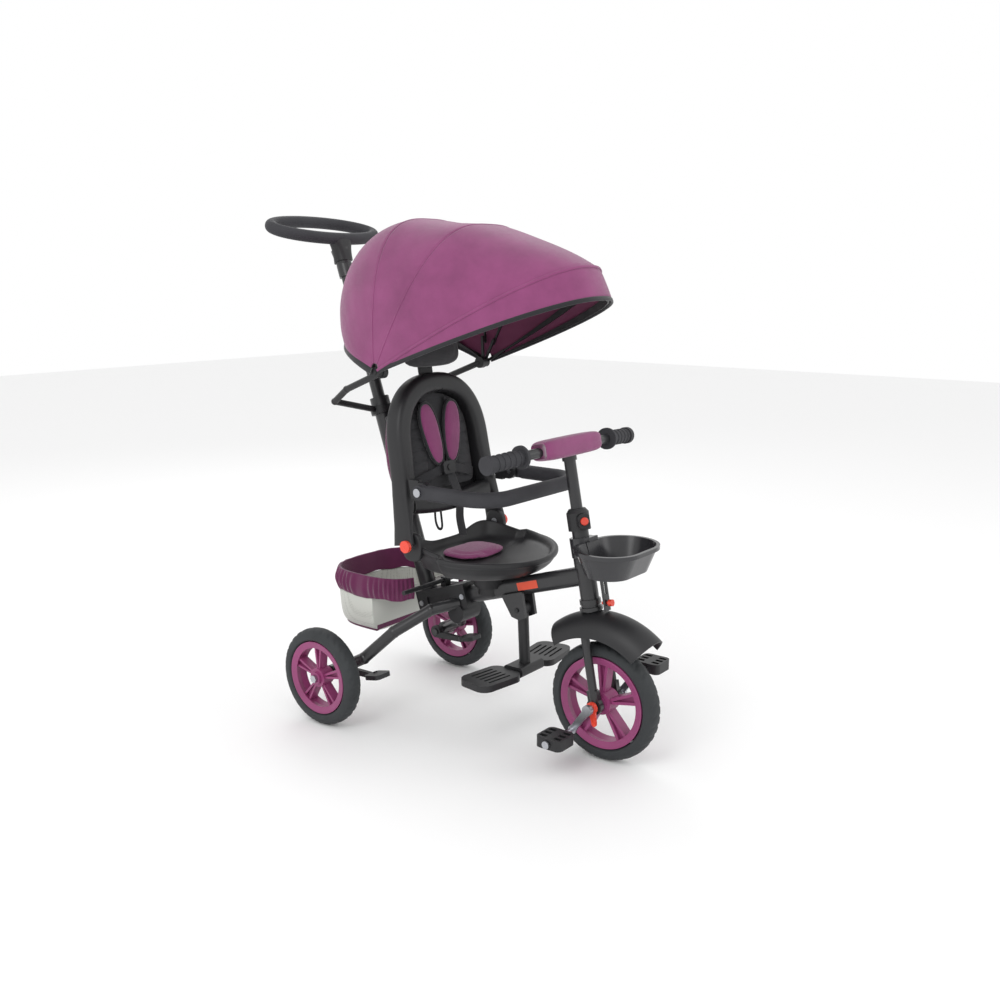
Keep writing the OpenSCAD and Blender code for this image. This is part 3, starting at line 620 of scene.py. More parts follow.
def settle(piece: bpy.types.Object, body: str, slot: str, *nodes: str) -> bpy.types.Object:
    """Lets a piece ride on a body and replace CAD nodes, and logs it."""
    if piece.parent is None and "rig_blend" not in piece:
        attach(piece, body)
    if nodes:
        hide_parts(*nodes)
    LOG.info("%s rides %s, stands for %s", piece.name, body, ", ".join(nodes) or "nothing")
    return piece


def put(shape: tuple[np.ndarray, list[np.ndarray], np.ndarray], name: str, finish: Stock, body: str,
        slot: str, *nodes: str) -> bpy.types.Object:
    """Makes a piece from swept() arrays in one finish and settles it."""
    verts, faces, cloth = shape
    piece = outward(make_mesh(name, verts, faces, cloth, finishes=[finish]))
    return settle(piece, body, slot, *nodes)


# ---------------------------------------------------------------- assemblies

@dataclass
class Wheel:
    """A foam tyre with cut tread on its CAD rim."""

    name: str
    centre: tuple[float, float, float]
    radius: float
    half_width: float
    seat: float
    body: str
    blocks: int

    def build(self) -> None:
        """Lathes the tyre.

        The section is a superellipse about (seat circle, middle); the tread sinks by a smooth step of
        sin(blocks * angle + slant * |y|), only on the outer face, and by two grooves round it.
        """
        sides, steps = 44, self.blocks * 8
        a = np.linspace(0, 2 * np.pi, sides, endpoint=False)[None, :]
        turn = np.linspace(0, 2 * np.pi, steps, endpoint=False)[:, None]
        bulge = self.radius - self.seat - 0.0065
        mid = self.seat + 0.0065
        rr = mid + np.where(np.sin(a) > 0, bulge, 0.0062) * spow(np.sin(a), 2.4)
        yy = self.half_width * spow(np.cos(a), 2.4)
        outer = np.clip((np.sin(a) - 0.62) / 0.14, 0, 1)
        across = np.abs(yy) / self.half_width
        slant = np.sin(self.blocks * turn + 5.0 * across)
        sipe = np.clip((slant - 0.45) * 3.0, 0, 1) * np.clip((across - 0.18) * 6, 0, 1)
        ringed = np.exp(-((across - 0.16) / 0.05) ** 2)
        rr = rr - outer * (0.0016 * sipe + 0.0012 * ringed)
        x, y, z = self.centre
        verts = np.stack([x + rr * np.cos(turn), y + yy + 0 * turn, z + rr * np.sin(turn)], -1)
        piece = make_mesh(self.name, verts, [grid_faces(steps, sides, True, True)],
                          finishes=[Stock.EVA_TYRE])
        settle(outward(piece), self.body, "tyre_rubber", self.name.replace("_shaped", ""))


@dataclass
class SeatShell:
    """The moulded bucket and its two hinge ears."""

    half: float = 0.1645
    front_arc_x: float = 0.045
    rear_x: float = -0.062
    rows: int = 40

    def outline(self, turn: np.ndarray) -> np.ndarray:
        """Distance from (0.045, 0) to the outline: a smooth least of the arc and the rear line."""
        arc = np.full_like(turn, self.half)
        rear = (self.front_arc_x - self.rear_x) / np.maximum(-np.cos(turn), 1e-3)
        side = 0.149 / np.maximum(np.abs(np.sin(turn)), 1e-3)
        side = np.where(np.cos(turn) < 0, side, 9.0)
        return (arc ** -12 + rear ** -12 + side ** -12) ** (-1 / 12)

    def build(self) -> None:
        """Lofts the bowl.

        Ring k scales the outline by s(k) at height z(k), both read from a rounded profile that climbs
        the outside, rolls over the rim and drops into the seat.
        """
        turn = np.linspace(0, 2 * np.pi, 144, endpoint=False)[None, :]
        k = np.linspace(0, 1, 60)
        knots = np.linspace(0, 1, 15)
        s = np.interp(k, knots, [0.35, 0.72, 0.80, 0.86, 0.92, 0.955, 0.975, 1.0, 1.0, 0.985, 0.955,
                                 0.915, 0.87, 0.62, 0.25])
        z = np.interp(k, knots, [358, 358.5, 362, 370, 379, 388, 394, 398, 404, 407, 407, 402, 391,
                                 384, 382.5])
        kernel = np.array([1, 4, 6, 4, 1]) / 16
        s = np.convolve(np.pad(s, 2, "edge"), kernel, "valid")[:, None]
        z = np.convolve(np.pad(z, 2, "edge"), kernel, "valid")[:, None] * MM
        radius = self.outline(turn) * s
        dip = 0.006 * np.clip(np.cos(turn), 0, 1) ** 4 * np.clip((s - 0.8) * 5, 0, 1)
        rise = (0.024 * np.exp(-((np.abs(np.sin(turn)) - 0.86) / 0.28) ** 2)
                * np.clip(0.25 - np.cos(turn), 0, 1))
        rise = rise * np.clip((s - 0.84) / 0.12, 0, 1)
        rings = np.stack([self.front_arc_x + radius * np.cos(turn), radius * np.sin(turn),
                          z - dip + rise + 0 * radius], -1)
        verts, faces = cap_rings(rings, np.array([self.front_arc_x, 0, 0.358]),
                                 np.array([self.front_arc_x, 0, 0.3822]))
        settle(outward(make_mesh("seat_bucket", verts, faces, finishes=[Stock.BLACK_PP])),
               "frame", "black_plastic", "seat_shell")
        for s_, label in ((-1, "right"), (1, "left")):
            plane = Plane((-0.030, s_ * 0.1425, 0.418), (1, 0, 0), (0, 0, 1))
            ear = pillow(f"seat_ear_{label}", plane, 0.026, 0.031, 0.0068, 0.0068, 2.6, 7,
                         Stock.BLACK_PP, sides=64, rows=20)
            settle(ear, "frame", "black_plastic")


@dataclass
class Backrest:
    """Horseshoe shell, padded lining, shoulder pads, harness and headrest."""

    lean: float = math.radians(10)
    hinge: tuple[float, float, float] = (-0.030, 0.0, 0.423)

    def at(self, out: float, y: float, h: float) -> tuple[float, float, float]:
        """The point out in front of the back plane, y to the left and h up it."""
        p = self.points(np.array(out), np.array(y), np.array(h))
        return tuple(float(v) for v in p)

    def points(self, out: np.ndarray, y: np.ndarray, h: np.ndarray) -> np.ndarray:
        """Row-frame points from places in the leaning frame of the back."""
        c, s = math.cos(self.lean), math.sin(self.lean)
        out, y, h = np.broadcast_arrays(out, y, h)
        return np.stack([self.hinge[0] + out * c - h * s, y, self.hinge[2] + out * s + h * c], -1)

    def plane(self, out: float, y: float, h: float, turn: float = 0.0) -> Plane:
        """A plane whose face looks forward, turned in itself by an angle."""
        up = np.array([-math.sin(self.lean), 0, math.cos(self.lean)])
        right = np.array([0.0, 1.0, 0.0])
        c, s = math.cos(turn), math.sin(turn)
        return Plane(self.at(out, y, h), tuple(c * right + s * up), tuple(-s * right + c * up))

    def shell(self) -> None:
        """Carries a rounded bar section round the horseshoe.

        The centreline climbs from the hinge, narrows from 158 mm to 129 mm, and closes over the top as
        an arch; half width and half depth are interpolated along it.
        """
        t = np.linspace(0, 1, 150)
        mirror = np.abs(2 * t - 1)
        arch = np.clip((0.62 - mirror) / 0.62, 0, 1)
        angle = arch * np.pi / 2
        stops = [0.62, 0.78, 0.9, 1.0]
        y = np.where(mirror > 0.62, np.interp(mirror, stops, [0.129, 0.134, 0.1525, 0.1582]),
                     0.129 * spow(np.cos(angle), 2.35))
        h = np.where(mirror > 0.62, np.interp(mirror, stops, [0.195, 0.118, 0.045, -0.004]),
                     0.195 + 0.140 * spow(np.sin(angle), 2.35))
        kernel = np.ones(7) / 7
        y = np.convolve(np.pad(y, 3, "edge"), kernel, "valid") * np.sign(2 * t - 1)
        h = np.convolve(np.pad(h, 3, "edge"), kernel, "valid")
        flat = np.stack([y, h], 1)
        tangent = unit(np.gradient(flat, axis=0))
        normal = np.stack([-tangent[:, 1], tangent[:, 0]], 1)
        c, s = math.cos(self.lean), math.sin(self.lean)
        side = np.stack([-normal[:, 1] * s, normal[:, 0], normal[:, 1] * c], 1)
        path = self.points(np.full(150, -0.011), y, h)
        half_w = np.interp(mirror, [0, 0.6, 0.8, 0.9, 1.0], [0.0215, 0.0215, 0.019, 0.0082, 0.0076])
        half_t = np.interp(mirror, [0, 0.8, 0.92, 1.0], [0.0228, 0.0228, 0.0235, 0.027])
        put(swept(path, side, np.array([c, 0, s]), half_w, half_t, 3.4, 36),
            "back_horseshoe", Stock.BLACK_PP, "backrest", "black_plastic", "backrest_shell")
        panel = self.star_pad("back_panel", 0.124, 0.170, 0.072, -0.0345, -0.0285, 0.0, 0.0,
                              Stock.BLACK_PP)
        settle(panel, "backrest", "black_plastic")
        bar = np.linspace(-1, 1, 60)
        lower = self.points(np.full(60, -0.011), 0.128 * bar, 0.083 - 0.012 * (1 - bar ** 2))
        put(swept(lower, np.array([-s, 0, c]), np.array([c, 0, s]), 0.019, 0.0215, 3.2, 32),
            "back_lower_bar", Stock.BLACK_PP, "backrest", "black_plastic")

    def star_pad(self, name: str, half_y: float, radius: float, low: float, rear: float,
                 front: float, crown: float, groove: float, finish: Stock) -> bpy.types.Object:
        """A pad with an arched outline.

        The outline's distance from its middle is a smooth least of two side lines, the bottom line and
        the top arc; ring s scales it, and the front rises by crown * (1 - s^4) less sewn grooves.
        """
        mid = 0.200
        turn = np.linspace(0, 2 * np.pi, 160, endpoint=False)[None, :]
        cy, sh = np.cos(turn), np.sin(turn)
        sides_ = half_y / np.maximum(np.abs(cy), 1e-3)
        base = np.where(sh < 0, (mid - low) / np.maximum(-sh, 1e-3), 9.0)
        b = (mid - 0.165) * sh
        top = -b + np.sqrt(np.maximum(b ** 2 + radius ** 2 - (mid - 0.165) ** 2, 1e-9))
        reach = (sides_ ** -14 + base ** -14 + top ** -14) ** (-1 / 14)
        s = np.concatenate([np.linspace(0.02, 0.9, 30), np.linspace(0.92, 1.0, 8)])[:, None]
        y, h = reach * s * cy, mid + reach * s * sh
        bulge = crown * (1 - s ** 5)
        rib = np.exp(-(((h * 1000 - 12) % 24 - 12) / 2.6) ** 2) * (np.abs(y) > 0.050)
        seam = np.exp(-((np.abs(y) - 0.048) / 0.0022) ** 2)
        out = front + bulge - groove * np.clip(rib + seam, 0, 1) * np.clip((1 - s) * 8, 0, 1)
        fore = self.points(out, y, h)
        back = self.points(np.full_like(out, rear), y, h)
        rings = np.concatenate([fore, back[::-1]])
        verts, faces = cap_rings(rings, np.array(self.at(front + crown, 0, mid)),
                                 np.array(self.at(rear, 0, mid)))
        place = np.stack([np.concatenate([y, y[::-1]]), np.concatenate([h, h[::-1]])], -1)
        cloth = np.concatenate([place.reshape(-1, 2), np.zeros((2, 2))])
        return outward(make_mesh(name, verts, faces, cloth, finishes=[finish]))

    def lining(self) -> None:
        """The black padded lining with its two ribbed sides."""
        pad = self.star_pad("back_lining", 0.106, 0.147, 0.104, -0.0282, -0.0185, 0.0095, 0.0035,
                            Stock.BLACK_MESH)
        settle(pad, "backrest", "black_fabric", "backrest_padding")

    def shoulder_pads(self) -> None:
        """Two leaf-shaped magenta pads with dark binding."""
        for s, label in ((-1, "right"), (1, "left")):
            plane = self.plane(-0.0015, s * 0.0335, 0.224, -s * math.radians(11))
            pad = pillow(f"shoulder_pad_{label}", plane, 0.0255, 0.068, 0.0075, 0.0045, 2.35, 2.6,
                         Stock.PAD_CLOTH, taper=-0.12, sides=80, rows=24)
            inflate(pad, 3.0, 3.0)
            nodes = ("shoulder_pads",) if s < 0 else ()
            settle(pad, "backrest", "canopy_fabric", *nodes)
            a = np.linspace(0, 2 * np.pi, 90, endpoint=False)
            y = 0.068 * spow(np.sin(a), 2.35)
            x = 0.0262 * spow(np.cos(a), 2.35) * (1 + 0.12 * y / 0.068)
            ring = plane.place(x, y, np.zeros(90))
            normal = np.array([math.cos(self.lean), 0, math.sin(self.lean)])
            tangent = unit(np.roll(ring, -1, 0) - np.roll(ring, 1, 0))
            verts, faces, cloth = swept(ring, np.cross(tangent, normal), normal, 0.0036, 0.0036, 2,
                                        10, True)
            binding = outward(make_mesh(f"shoulder_binding_{label}", verts, faces, cloth,
                                        finishes=[Stock.TRIM]))
            settle(binding, "backrest", "black_fabric")

    def strap(self, name: str, stops: Sequence[tuple[float, float, float]], width: float,
              nodes: tuple[str, ...] = ()) -> None:
        """Flat webbing through (out, y, h) stops, smoothed by repeated averaging."""
        fine = np.linspace(0, len(stops) - 1, 60)
        p = np.stack([np.interp(fine, np.arange(len(stops)), [q[i] for q in stops])
                      for i in range(3)], 1)
        kernel = np.ones(9) / 9
        smooth = np.stack([np.convolve(np.pad(p[:, i], 4, "edge"), kernel, "valid")
                           for i in range(3)], 1)
        path = self.points(smooth[:, 0], smooth[:, 1], smooth[:, 2])
        tangent = unit(np.gradient(path, axis=0))
        out = np.array([math.cos(self.lean), 0, math.sin(self.lean)])
        side = unit(np.cross(tangent, out))
        verts, faces, cloth = swept(path, side, unit(np.cross(side, tangent)), width / 2, 0.0008, 6, 16)
        piece = outward(make_mesh(name, verts, faces, cloth, finishes=[Stock.WEBBING]))
        settle(piece, "backrest", "black_fabric", *nodes)

    def harness(self) -> None:
        """Shoulder, waist and crotch webbing, with one thin loop."""
        for s, label in ((-1, "right"), (1, "left")):
            self.strap(f"shoulder_strap_{label}", [(-0.0085, s * 0.040, 0.300), (-0.0050, s * 0.036, 0.280),
                                                   (-0.0050, s * 0.026, 0.225), (-0.003, s * 0.014, 0.165),
                                                   (-0.001, s * 0.008, 0.150)], 0.020)
            self.strap(f"waist_strap_{label}", [(0.000, s * 0.012, 0.146), (-0.002, s * 0.045, 0.138),
                                                (-0.010, s * 0.085, 0.128),
                                                (-0.016, s * 0.104, 0.124)], 0.020)
        self.strap("crotch_strap", [(0.000, 0.006, 0.140), (0.006, 0.008, 0.115), (0.0145, 0.008, 0.090),
                                    (0.0145, 0.008, 0.060), (0.010, 0.006, 0.030), (0.016, 0.004, -0.012)],
                   0.026, ("harness_straps",))
        self.strap("loop_strap", [(-0.008, -0.050, 0.064), (-0.010, -0.052, 0.035), (-0.009, -0.048, 0.018),
                                  (-0.008, -0.040, 0.014), (-0.009, -0.033, 0.020), (-0.010, -0.031, 0.040),
                                  (-0.008, -0.032, 0.064)], 0.006)

    def headrest(self) -> None:
        """The rounded black head pad with a seam round it, and its mast."""
        def crease(x: np.ndarray, y: np.ndarray) -> np.ndarray:
            r = ((np.abs(x) / 0.072) ** 4 + (np.abs(y) / 0.024) ** 4) ** 0.25
            return -0.0028 * np.exp(-((r - 1) / 0.07) ** 2)
        pad = pillow("head_pad", self.plane(0.0, 0.0, 0.405), 0.091, 0.037, 0.016, 0.014, 3.4, 2.5,
                     Stock.BLACK_MESH, crease, sides=120, rows=36)
        inflate(pad, 4.0, 4.5)
        settle(pad, "head_pad", "black_fabric", "headrest")
        mast = self.points(np.full(8, -0.023), np.zeros(8), np.linspace(0.272, 0.395, 8))
        c, s = math.cos(self.lean), math.sin(self.lean)
        put(swept(mast, np.array([0.0, 1, 0]), np.array([c, 0, s]), 0.0218, 0.0038, 5, 24),
            "head_mast", Stock.BLACK_PP, "head_pad", "black_plastic")

    def bag(self) -> None:
        """The storage bag: rings of a rounded section that swell and sag towards the bottom."""
        k = np.linspace(0, 1, 36)[:, None]
        turn = np.linspace(0, 2 * np.pi, 120, endpoint=False)[None, :]
        h = 0.268 - 0.192 * k
        wide = 0.108 + 0.010 * np.sin(np.pi * np.clip(k * 1.1, 0, 1)) - 0.022 * k ** 8
        deep = 0.012 + 0.0105 * np.sin(np.pi * (0.12 + 0.78 * k)) - 0.008 * k ** 10
        y = wide * spow(np.cos(turn), 4.2)
        out = -0.0355 - deep + deep * spow(np.sin(turn), 3.0)
        fold = 0.0016 * np.sin(9 * turn + 5 * k) * k * (np.sin(turn) < 0)
        h_all = h + 0 * turn - 0.006 * (1 - (y / 0.12) ** 2) * k
        outer = self.points(out + fold, y, h_all)
        inner = self.points(-0.0355 - deep + (deep - 0.002) * spow(np.sin(turn), 3.0), y * 0.98,
                            np.maximum(h_all, 0.080))
        rings = np.concatenate([outer[::-1], inner])
        verts, faces = cap_rings(rings, outer[-1].mean(0), inner[-1].mean(0))
        run = np.linspace(0, 0.6, 120)[None, :]
        flat = np.stack(np.broadcast_arrays(run, h_all), -1)
        cloth = np.concatenate([np.concatenate([flat[::-1], flat]).reshape(-1, 2), np.zeros((2, 2))])
        piece = outward(make_mesh("storage_pouch", verts, faces, cloth, finishes=[Stock.BAG_CLOTH]))
        settle(piece, "backrest", "dark_fabric", "storage_bag")
        rim = outer[0] + np.array([0, 0, 0.0005])
        tangent = unit(np.roll(rim, -1, 0) - np.roll(rim, 1, 0))
        up = np.array([-math.sin(self.lean), 0, math.cos(self.lean)])
        put(swept(rim, np.cross(tangent, up), up, 0.0022, 0.006, 3, 12, True),
            "pouch_elastic", Stock.TRIM, "backrest", "black_fabric")

    def build(self) -> None:
        """Makes every piece of the back."""
        self.shell()
        self.lining()
        self.shoulder_pads()
        self.harness()
        self.headrest()
        self.bag()


@dataclass
class Canopy:
    """Three cloth panels over superellipse bows that fan out from one pivot line."""

    pivot_x: float = -0.090
    pivot_z: float = 0.785
    half: float = 0.188
    angles: dict[str, float] = field(default_factory=lambda: {
        "rear": 157.0, "crown": 91.0, "mid": 62.3, "front": 28.0, "visor": 19.6})

    def radius(self, a: np.ndarray, t: np.ndarray) -> tuple[np.ndarray, np.ndarray]:
        """Bow reach and squareness at an angle, eased between the bows with the cloth's own sag."""
        reach = np.interp(a, [19.6, 28, 62.3, 91, 157], [455, 452, 335, 312, 178]) * MM
        square = np.interp(a, [19.6, 28, 62.3, 91, 157], [2.3, 2.3, 3.0, 3.0, 2.6])
        def span(a0: float, a1: float) -> np.ndarray:
            return np.sin(np.pi * np.clip((a - a0) / (a1 - a0), 0, 1))
        sag = 0.034 * span(91, 157) - 0.013 * span(62.3, 91) - 0.019 * span(28, 62.3)
        return reach + sag * np.sin(t), square

    def cloth(self, a: np.ndarray, t: np.ndarray, lift: float) -> np.ndarray:
        """Points on the canopy: the bow's superellipse turned to its angle, with small drag folds."""
        reach, square = self.radius(a, t)
        fold = 0.0013 * np.sin(a * 0.55 + 3 * np.sin(t)) * (1 - np.sin(t) ** 2) ** 2
        q = (reach + lift + fold) * spow(np.sin(t), square)
        y = (self.half + lift) * spow(np.cos(t), square)
        rad = np.radians(a)
        return np.stack([self.pivot_x + q * np.cos(rad), y, self.pivot_z + q * np.sin(rad)], -1)

    def sweep(self, count: int) -> np.ndarray:
        """Places round a bow, closer together towards the two feet, which stop short of the pivot."""
        return np.pi * np.clip(0.5 - 0.5 * np.cos(np.pi * np.linspace(0.045, 0.955, count)), 0, 1)

    def panel(self, name: str, first: float, last: float, rows: int,
              flat: tuple[float, float], area: float) -> bpy.types.Object:
        """One cloth panel with its lining, 1.6 mm thick, between two angles."""
        cols = 120
        a = np.linspace(first, last, rows)[:, None] + np.zeros((1, cols))
        t = self.sweep(cols)[None, :] + np.zeros((rows, 1))
        outer, inner = self.cloth(a, t, 0.0), self.cloth(a, t, -CLOTH_THICK)
        arc = np.cumsum(np.linalg.norm(np.diff(outer[rows // 2], axis=0, prepend=outer[rows // 2][:1]),
                                       axis=1))
        flatmap = np.stack(np.broadcast_arrays(arc[None, :], np.radians(a) * 0.33), -1)
        piece = make_mesh(name, np.concatenate([outer, inner]),
                          layered_faces(rows, cols),
                          np.concatenate([flatmap, flatmap]), (0, 1, 0),
                          [Stock.CANOPY, Stock.LINING])
        outward(piece)
        return piece

    def weigh(self, piece: bpy.types.Object, first: float, last: float) -> None:
        """Spreads the fold evenly by angle about the pivot line, from 0 at first to 1 at last.
        """
        co = np.empty(len(piece.data.vertices) * 3)
        piece.data.vertices.foreach_get("co", co)
        p = co.reshape(-1, 3)
        angle = np.degrees(np.arctan2(p[:, 2] - self.pivot_z, p[:, 0] - self.pivot_x))
        w = np.clip((angle - first) / (last - first), 0, 1).astype(np.float32)
        piece.data.attributes["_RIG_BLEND"].data.foreach_set("value", w)

    def binding(self, name: str, angle: float, body: str, half_w: float, half_t: float,
                lift: float, finish: Stock) -> None:
        """A bound edge or piped seam along one bow line."""
        t = self.sweep(140)
        a = np.full(140, angle)
        path = self.cloth(a, t, lift)
        rad = math.radians(angle)
        across = np.array([-math.sin(rad), 0, math.cos(rad)])
        tangent = unit(np.gradient(path, axis=0))
        put(swept(path, across, unit(np.cross(tangent, across)), half_w, half_t, 2.6, 12),
            name, finish, body, "canopy_fabric")

    def build(self) -> None:
        """Makes the panels, their seams and the bound edges."""
        a = self.angles
        rear = self.panel("canopy_rear_panel", a["crown"], a["rear"], 46, (0.80, 0.33), 0.1580)
        settle(rear, "frame", "canopy_fabric", "canopy_rear_cloth")
        mid = self.panel("canopy_mid_panel", a["mid"], a["crown"], 26, (0.83, 0.17), 0.0860)
        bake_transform(mid, "frame", "canopy_mid", start=(-0.10, 0, 1.09), end=(0.066, 0, 1.08))
        self.weigh(mid, a["crown"], a["mid"])
        settle(mid, "canopy_mid", "canopy_fabric", "canopy_mid_cloth")
        front = self.panel("canopy_front_panel", a["visor"], a["mid"], 44, (1.07, 0.32), 0.1800)
        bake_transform(front, "canopy_mid", "canopy_front", start=(0.066, 0, 1.08), end=(0.31, 0, 0.996))
        self.weigh(front, a["mid"], a["front"])
        settle(front, "canopy_front", "canopy_fabric", "canopy_front_cloth")
        self.binding("canopy_seam_crown", a["crown"], "frame", 0.0016, 0.0011, 0.0, Stock.CANOPY)
        self.binding("canopy_seam_mid", a["mid"], "canopy_mid", 0.0016, 0.0011, 0.0, Stock.CANOPY)
        self.binding("canopy_seam_front", a["front"], "canopy_front", 0.0030, 0.0016, 0.0004, Stock.CANOPY)
        self.binding("canopy_visor_edge", a["visor"], "canopy_front", 0.0046, 0.0022, -0.0008, Stock.TRIM)
        self.binding("canopy_rear_edge", a["rear"], "frame", 0.0075, 0.0022, -0.0008, Stock.TRIM)


@dataclass
class HandlebarPad:
    """The box-like sleeve of padded cloth round the middle of the bar."""

    def build(self) -> None:
        """Carries a rounded square section along the bar, pulled in at both ends."""
        y = np.linspace(-0.099, 0.099, 80)
        pull = 1 - 0.26 * np.abs(y / 0.099) ** 10
        swell = 1 + 0.035 * np.cos(y / 0.099 * np.pi / 2)
        centre = np.array([0.2635, 0.0, 0.6448])
        path = np.stack([np.full(80, centre[0]), y, np.full(80, centre[2])], 1)
        rake = math.radians(11)
        fore = np.array([math.cos(rake), 0, math.sin(rake)])
        up = np.array([-math.sin(rake), 0, math.cos(rake)])
        verts, faces, cloth = swept(path, fore, up, 0.0240 * pull * swell, 0.0202 * pull * swell, 4.6, 56)
        pad = outward(make_mesh("bar_pad", verts, faces, cloth, finishes=[Stock.PAD_CLOTH]))
        settle(pad, "bar", "canopy_fabric", "handlebar_pad")


@dataclass
class SeatPad:
    """The small magenta cushion on the seat."""

    def build(self) -> None:
        """A crowned pad with a sewn channel inside its edge."""
        def channel(x: np.ndarray, y: np.ndarray) -> np.ndarray:
            r = ((np.abs(x) / 0.040) ** 3 + (np.abs(y) / 0.056) ** 3) ** (1 / 3)
            return -0.003 * np.exp(-((r - 1) / 0.08) ** 2)
        plane = Plane((0.018, 0.0, 0.3885), (0, 1, 0), (-1, 0, 0))
        pad = pillow("seat_cushion", plane, 0.072, 0.053, 0.0075, 0.004, 2.9, 2.6, Stock.PAD_CLOTH,
                     lambda x, y: channel(y, x), sides=110, rows=30)
        inflate(pad, 4.0, 2.5)
        settle(pad, "frame", "canopy_fabric", "seat_pad")


@dataclass
class Basket:
    """Gathered rim band and the netting tub below it."""

    middle_x: float = -0.200

    def plan(self, turn: np.ndarray, grow: float) -> tuple[np.ndarray, np.ndarray]:
        """A superellipse plan, grown outwards by a distance."""
        return (self.middle_x + (0.125 + grow) * spow(np.cos(turn), 3.0),
                (0.135 + grow) * spow(np.sin(turn), 3.0))

    def band(self) -> None:
        """The band: a strip round the plan, open at the front, bulged and finely gathered."""
        rows, cols = 22, 420
        turn = np.linspace(math.radians(28), math.radians(332), cols)[None, :]
        k = np.linspace(0, 1, rows)[:, None]
        gather = 0.0017 * np.sin(64 * turn) * np.sin(np.pi * k) ** 0.5 + 0.0009 * np.sin(23 * turn + 4 * k)
        grow = 0.006 * np.sin(np.pi * k) - 0.002 + gather
        z = 0.276 + 0.050 * k + 0.002 * np.sin(9 * turn) * (1 - k)
        x, y = self.plan(turn, grow)
        xi, yi = self.plan(turn, -0.0065 + 0 * grow)
        outer = np.stack([x, y, z + 0 * x], -1)
        inner = np.stack([xi, yi, z + 0 * xi], -1)
        cloth = np.stack(np.broadcast_arrays(turn * 0.14, z), -1)
        piece = make_mesh("basket_band", np.concatenate([outer, inner]),
                          layered_faces(rows, cols),
                          np.concatenate([cloth, cloth]), finishes=[Stock.BAG_CLOTH])
        settle(outward(piece), "frame", "dark_fabric", "basket_rim")

    def tub(self) -> None:
        """The net tub: rings shrink towards a rounded floor; the front is drawn flat."""
        rows, cols = 34, 160
        turn = np.linspace(0, 2 * np.pi, cols, endpoint=False)[None, :]
        k = np.linspace(0, 1, rows)[:, None]
        shrink = -0.003 - 0.016 * k - 0.030 * k ** 7
        sag = 0.003 * np.sin(np.pi * k)
        def rings(inset: float) -> np.ndarray:
            x, y = self.plan(turn, shrink + sag - inset)
            x = np.minimum(x, -0.1675 - inset) + 0 * y
            z = 0.276 - (0.081 - inset) * np.sin(k * np.pi / 2) ** 0.8 + 0 * y
            return np.stack([x, y, z], -1)
        outer, inner = rings(0.0), rings(CLOTH_THICK)
        verts, faces = cap_rings(np.concatenate([outer[::-1], inner]), outer[-1].mean(0),
                                 inner[-1].mean(0))
        flat = np.stack(np.broadcast_arrays(turn * 0.13, k * 0.1), -1)
        cloth = np.concatenate([np.concatenate([flat[::-1], flat]).reshape(-1, 2), np.zeros((2, 2))])
        piece = outward(make_mesh("basket_net", verts, faces, cloth, finishes=[Stock.GREY_NET]))
        settle(piece, "frame", "mesh_fabric", "basket_tub")
        low = self.plan(turn[0], -0.003 - 0.0145)
        ring = np.stack([np.minimum(low[0], -0.169), low[1], np.full(cols, 0.2035)], 1)
        tangent = unit(np.roll(ring, -1, 0) - np.roll(ring, 1, 0))
        up = np.array([0.0, 0, 1])
        put(swept(ring, unit(np.cross(tangent, up)), up, 0.0018, 0.008, 3, 12, True),
            "basket_low_band", Stock.BAG_CLOTH, "frame", "dark_fabric")

    def build(self) -> None:
        """Makes the band and the tub."""
        self.band()
        self.tub()


@dataclass
class PushRing:
    """The oval foam ring and the neck that carries it."""

    centre: tuple[float, float, float] = (-0.4215, 0.0, 1.0816)
    tilt: float = math.radians(20)

    def build(self) -> None:
        """Sweeps a round section along the tilted ellipse, and a flared neck below it."""
        a = np.linspace(0, 2 * np.pi, 160, endpoint=False)
        c, s = math.cos(self.tilt), math.sin(self.tilt)
        ring = np.array(self.centre) + np.stack([0.058 * np.cos(a) * c, 0.150 * np.sin(a),
                                                 -0.058 * np.cos(a) * s], 1)
        tangent = unit(np.roll(ring, -1, 0) - np.roll(ring, 1, 0))
        normal = np.array([s, 0, c])
        put(swept(ring, np.cross(tangent, normal), normal, 0.0135, 0.0133, 2.1, 28, True),
            "push_ring", Stock.FOAM, "push_handle", "foam_rubber", "handle_ring")
        k = np.linspace(0, 1, 24)
        foot, head = np.array([-0.3603, 0, 1.0100]), np.array([-0.3700, 0, 1.0640])
        path = foot + (head - foot) * k[:, None]
        lean = math.radians(18.7)
        put(swept(path, np.array([0.0, 1, 0]), np.array([math.cos(lean), 0, math.sin(lean)]),
                  0.0205 + 0.016 * k ** 2.5, 0.0195 - 0.004 * k, 2.6, 32),
            "push_neck", Stock.BLACK_PP, "push_handle", "black_plastic")


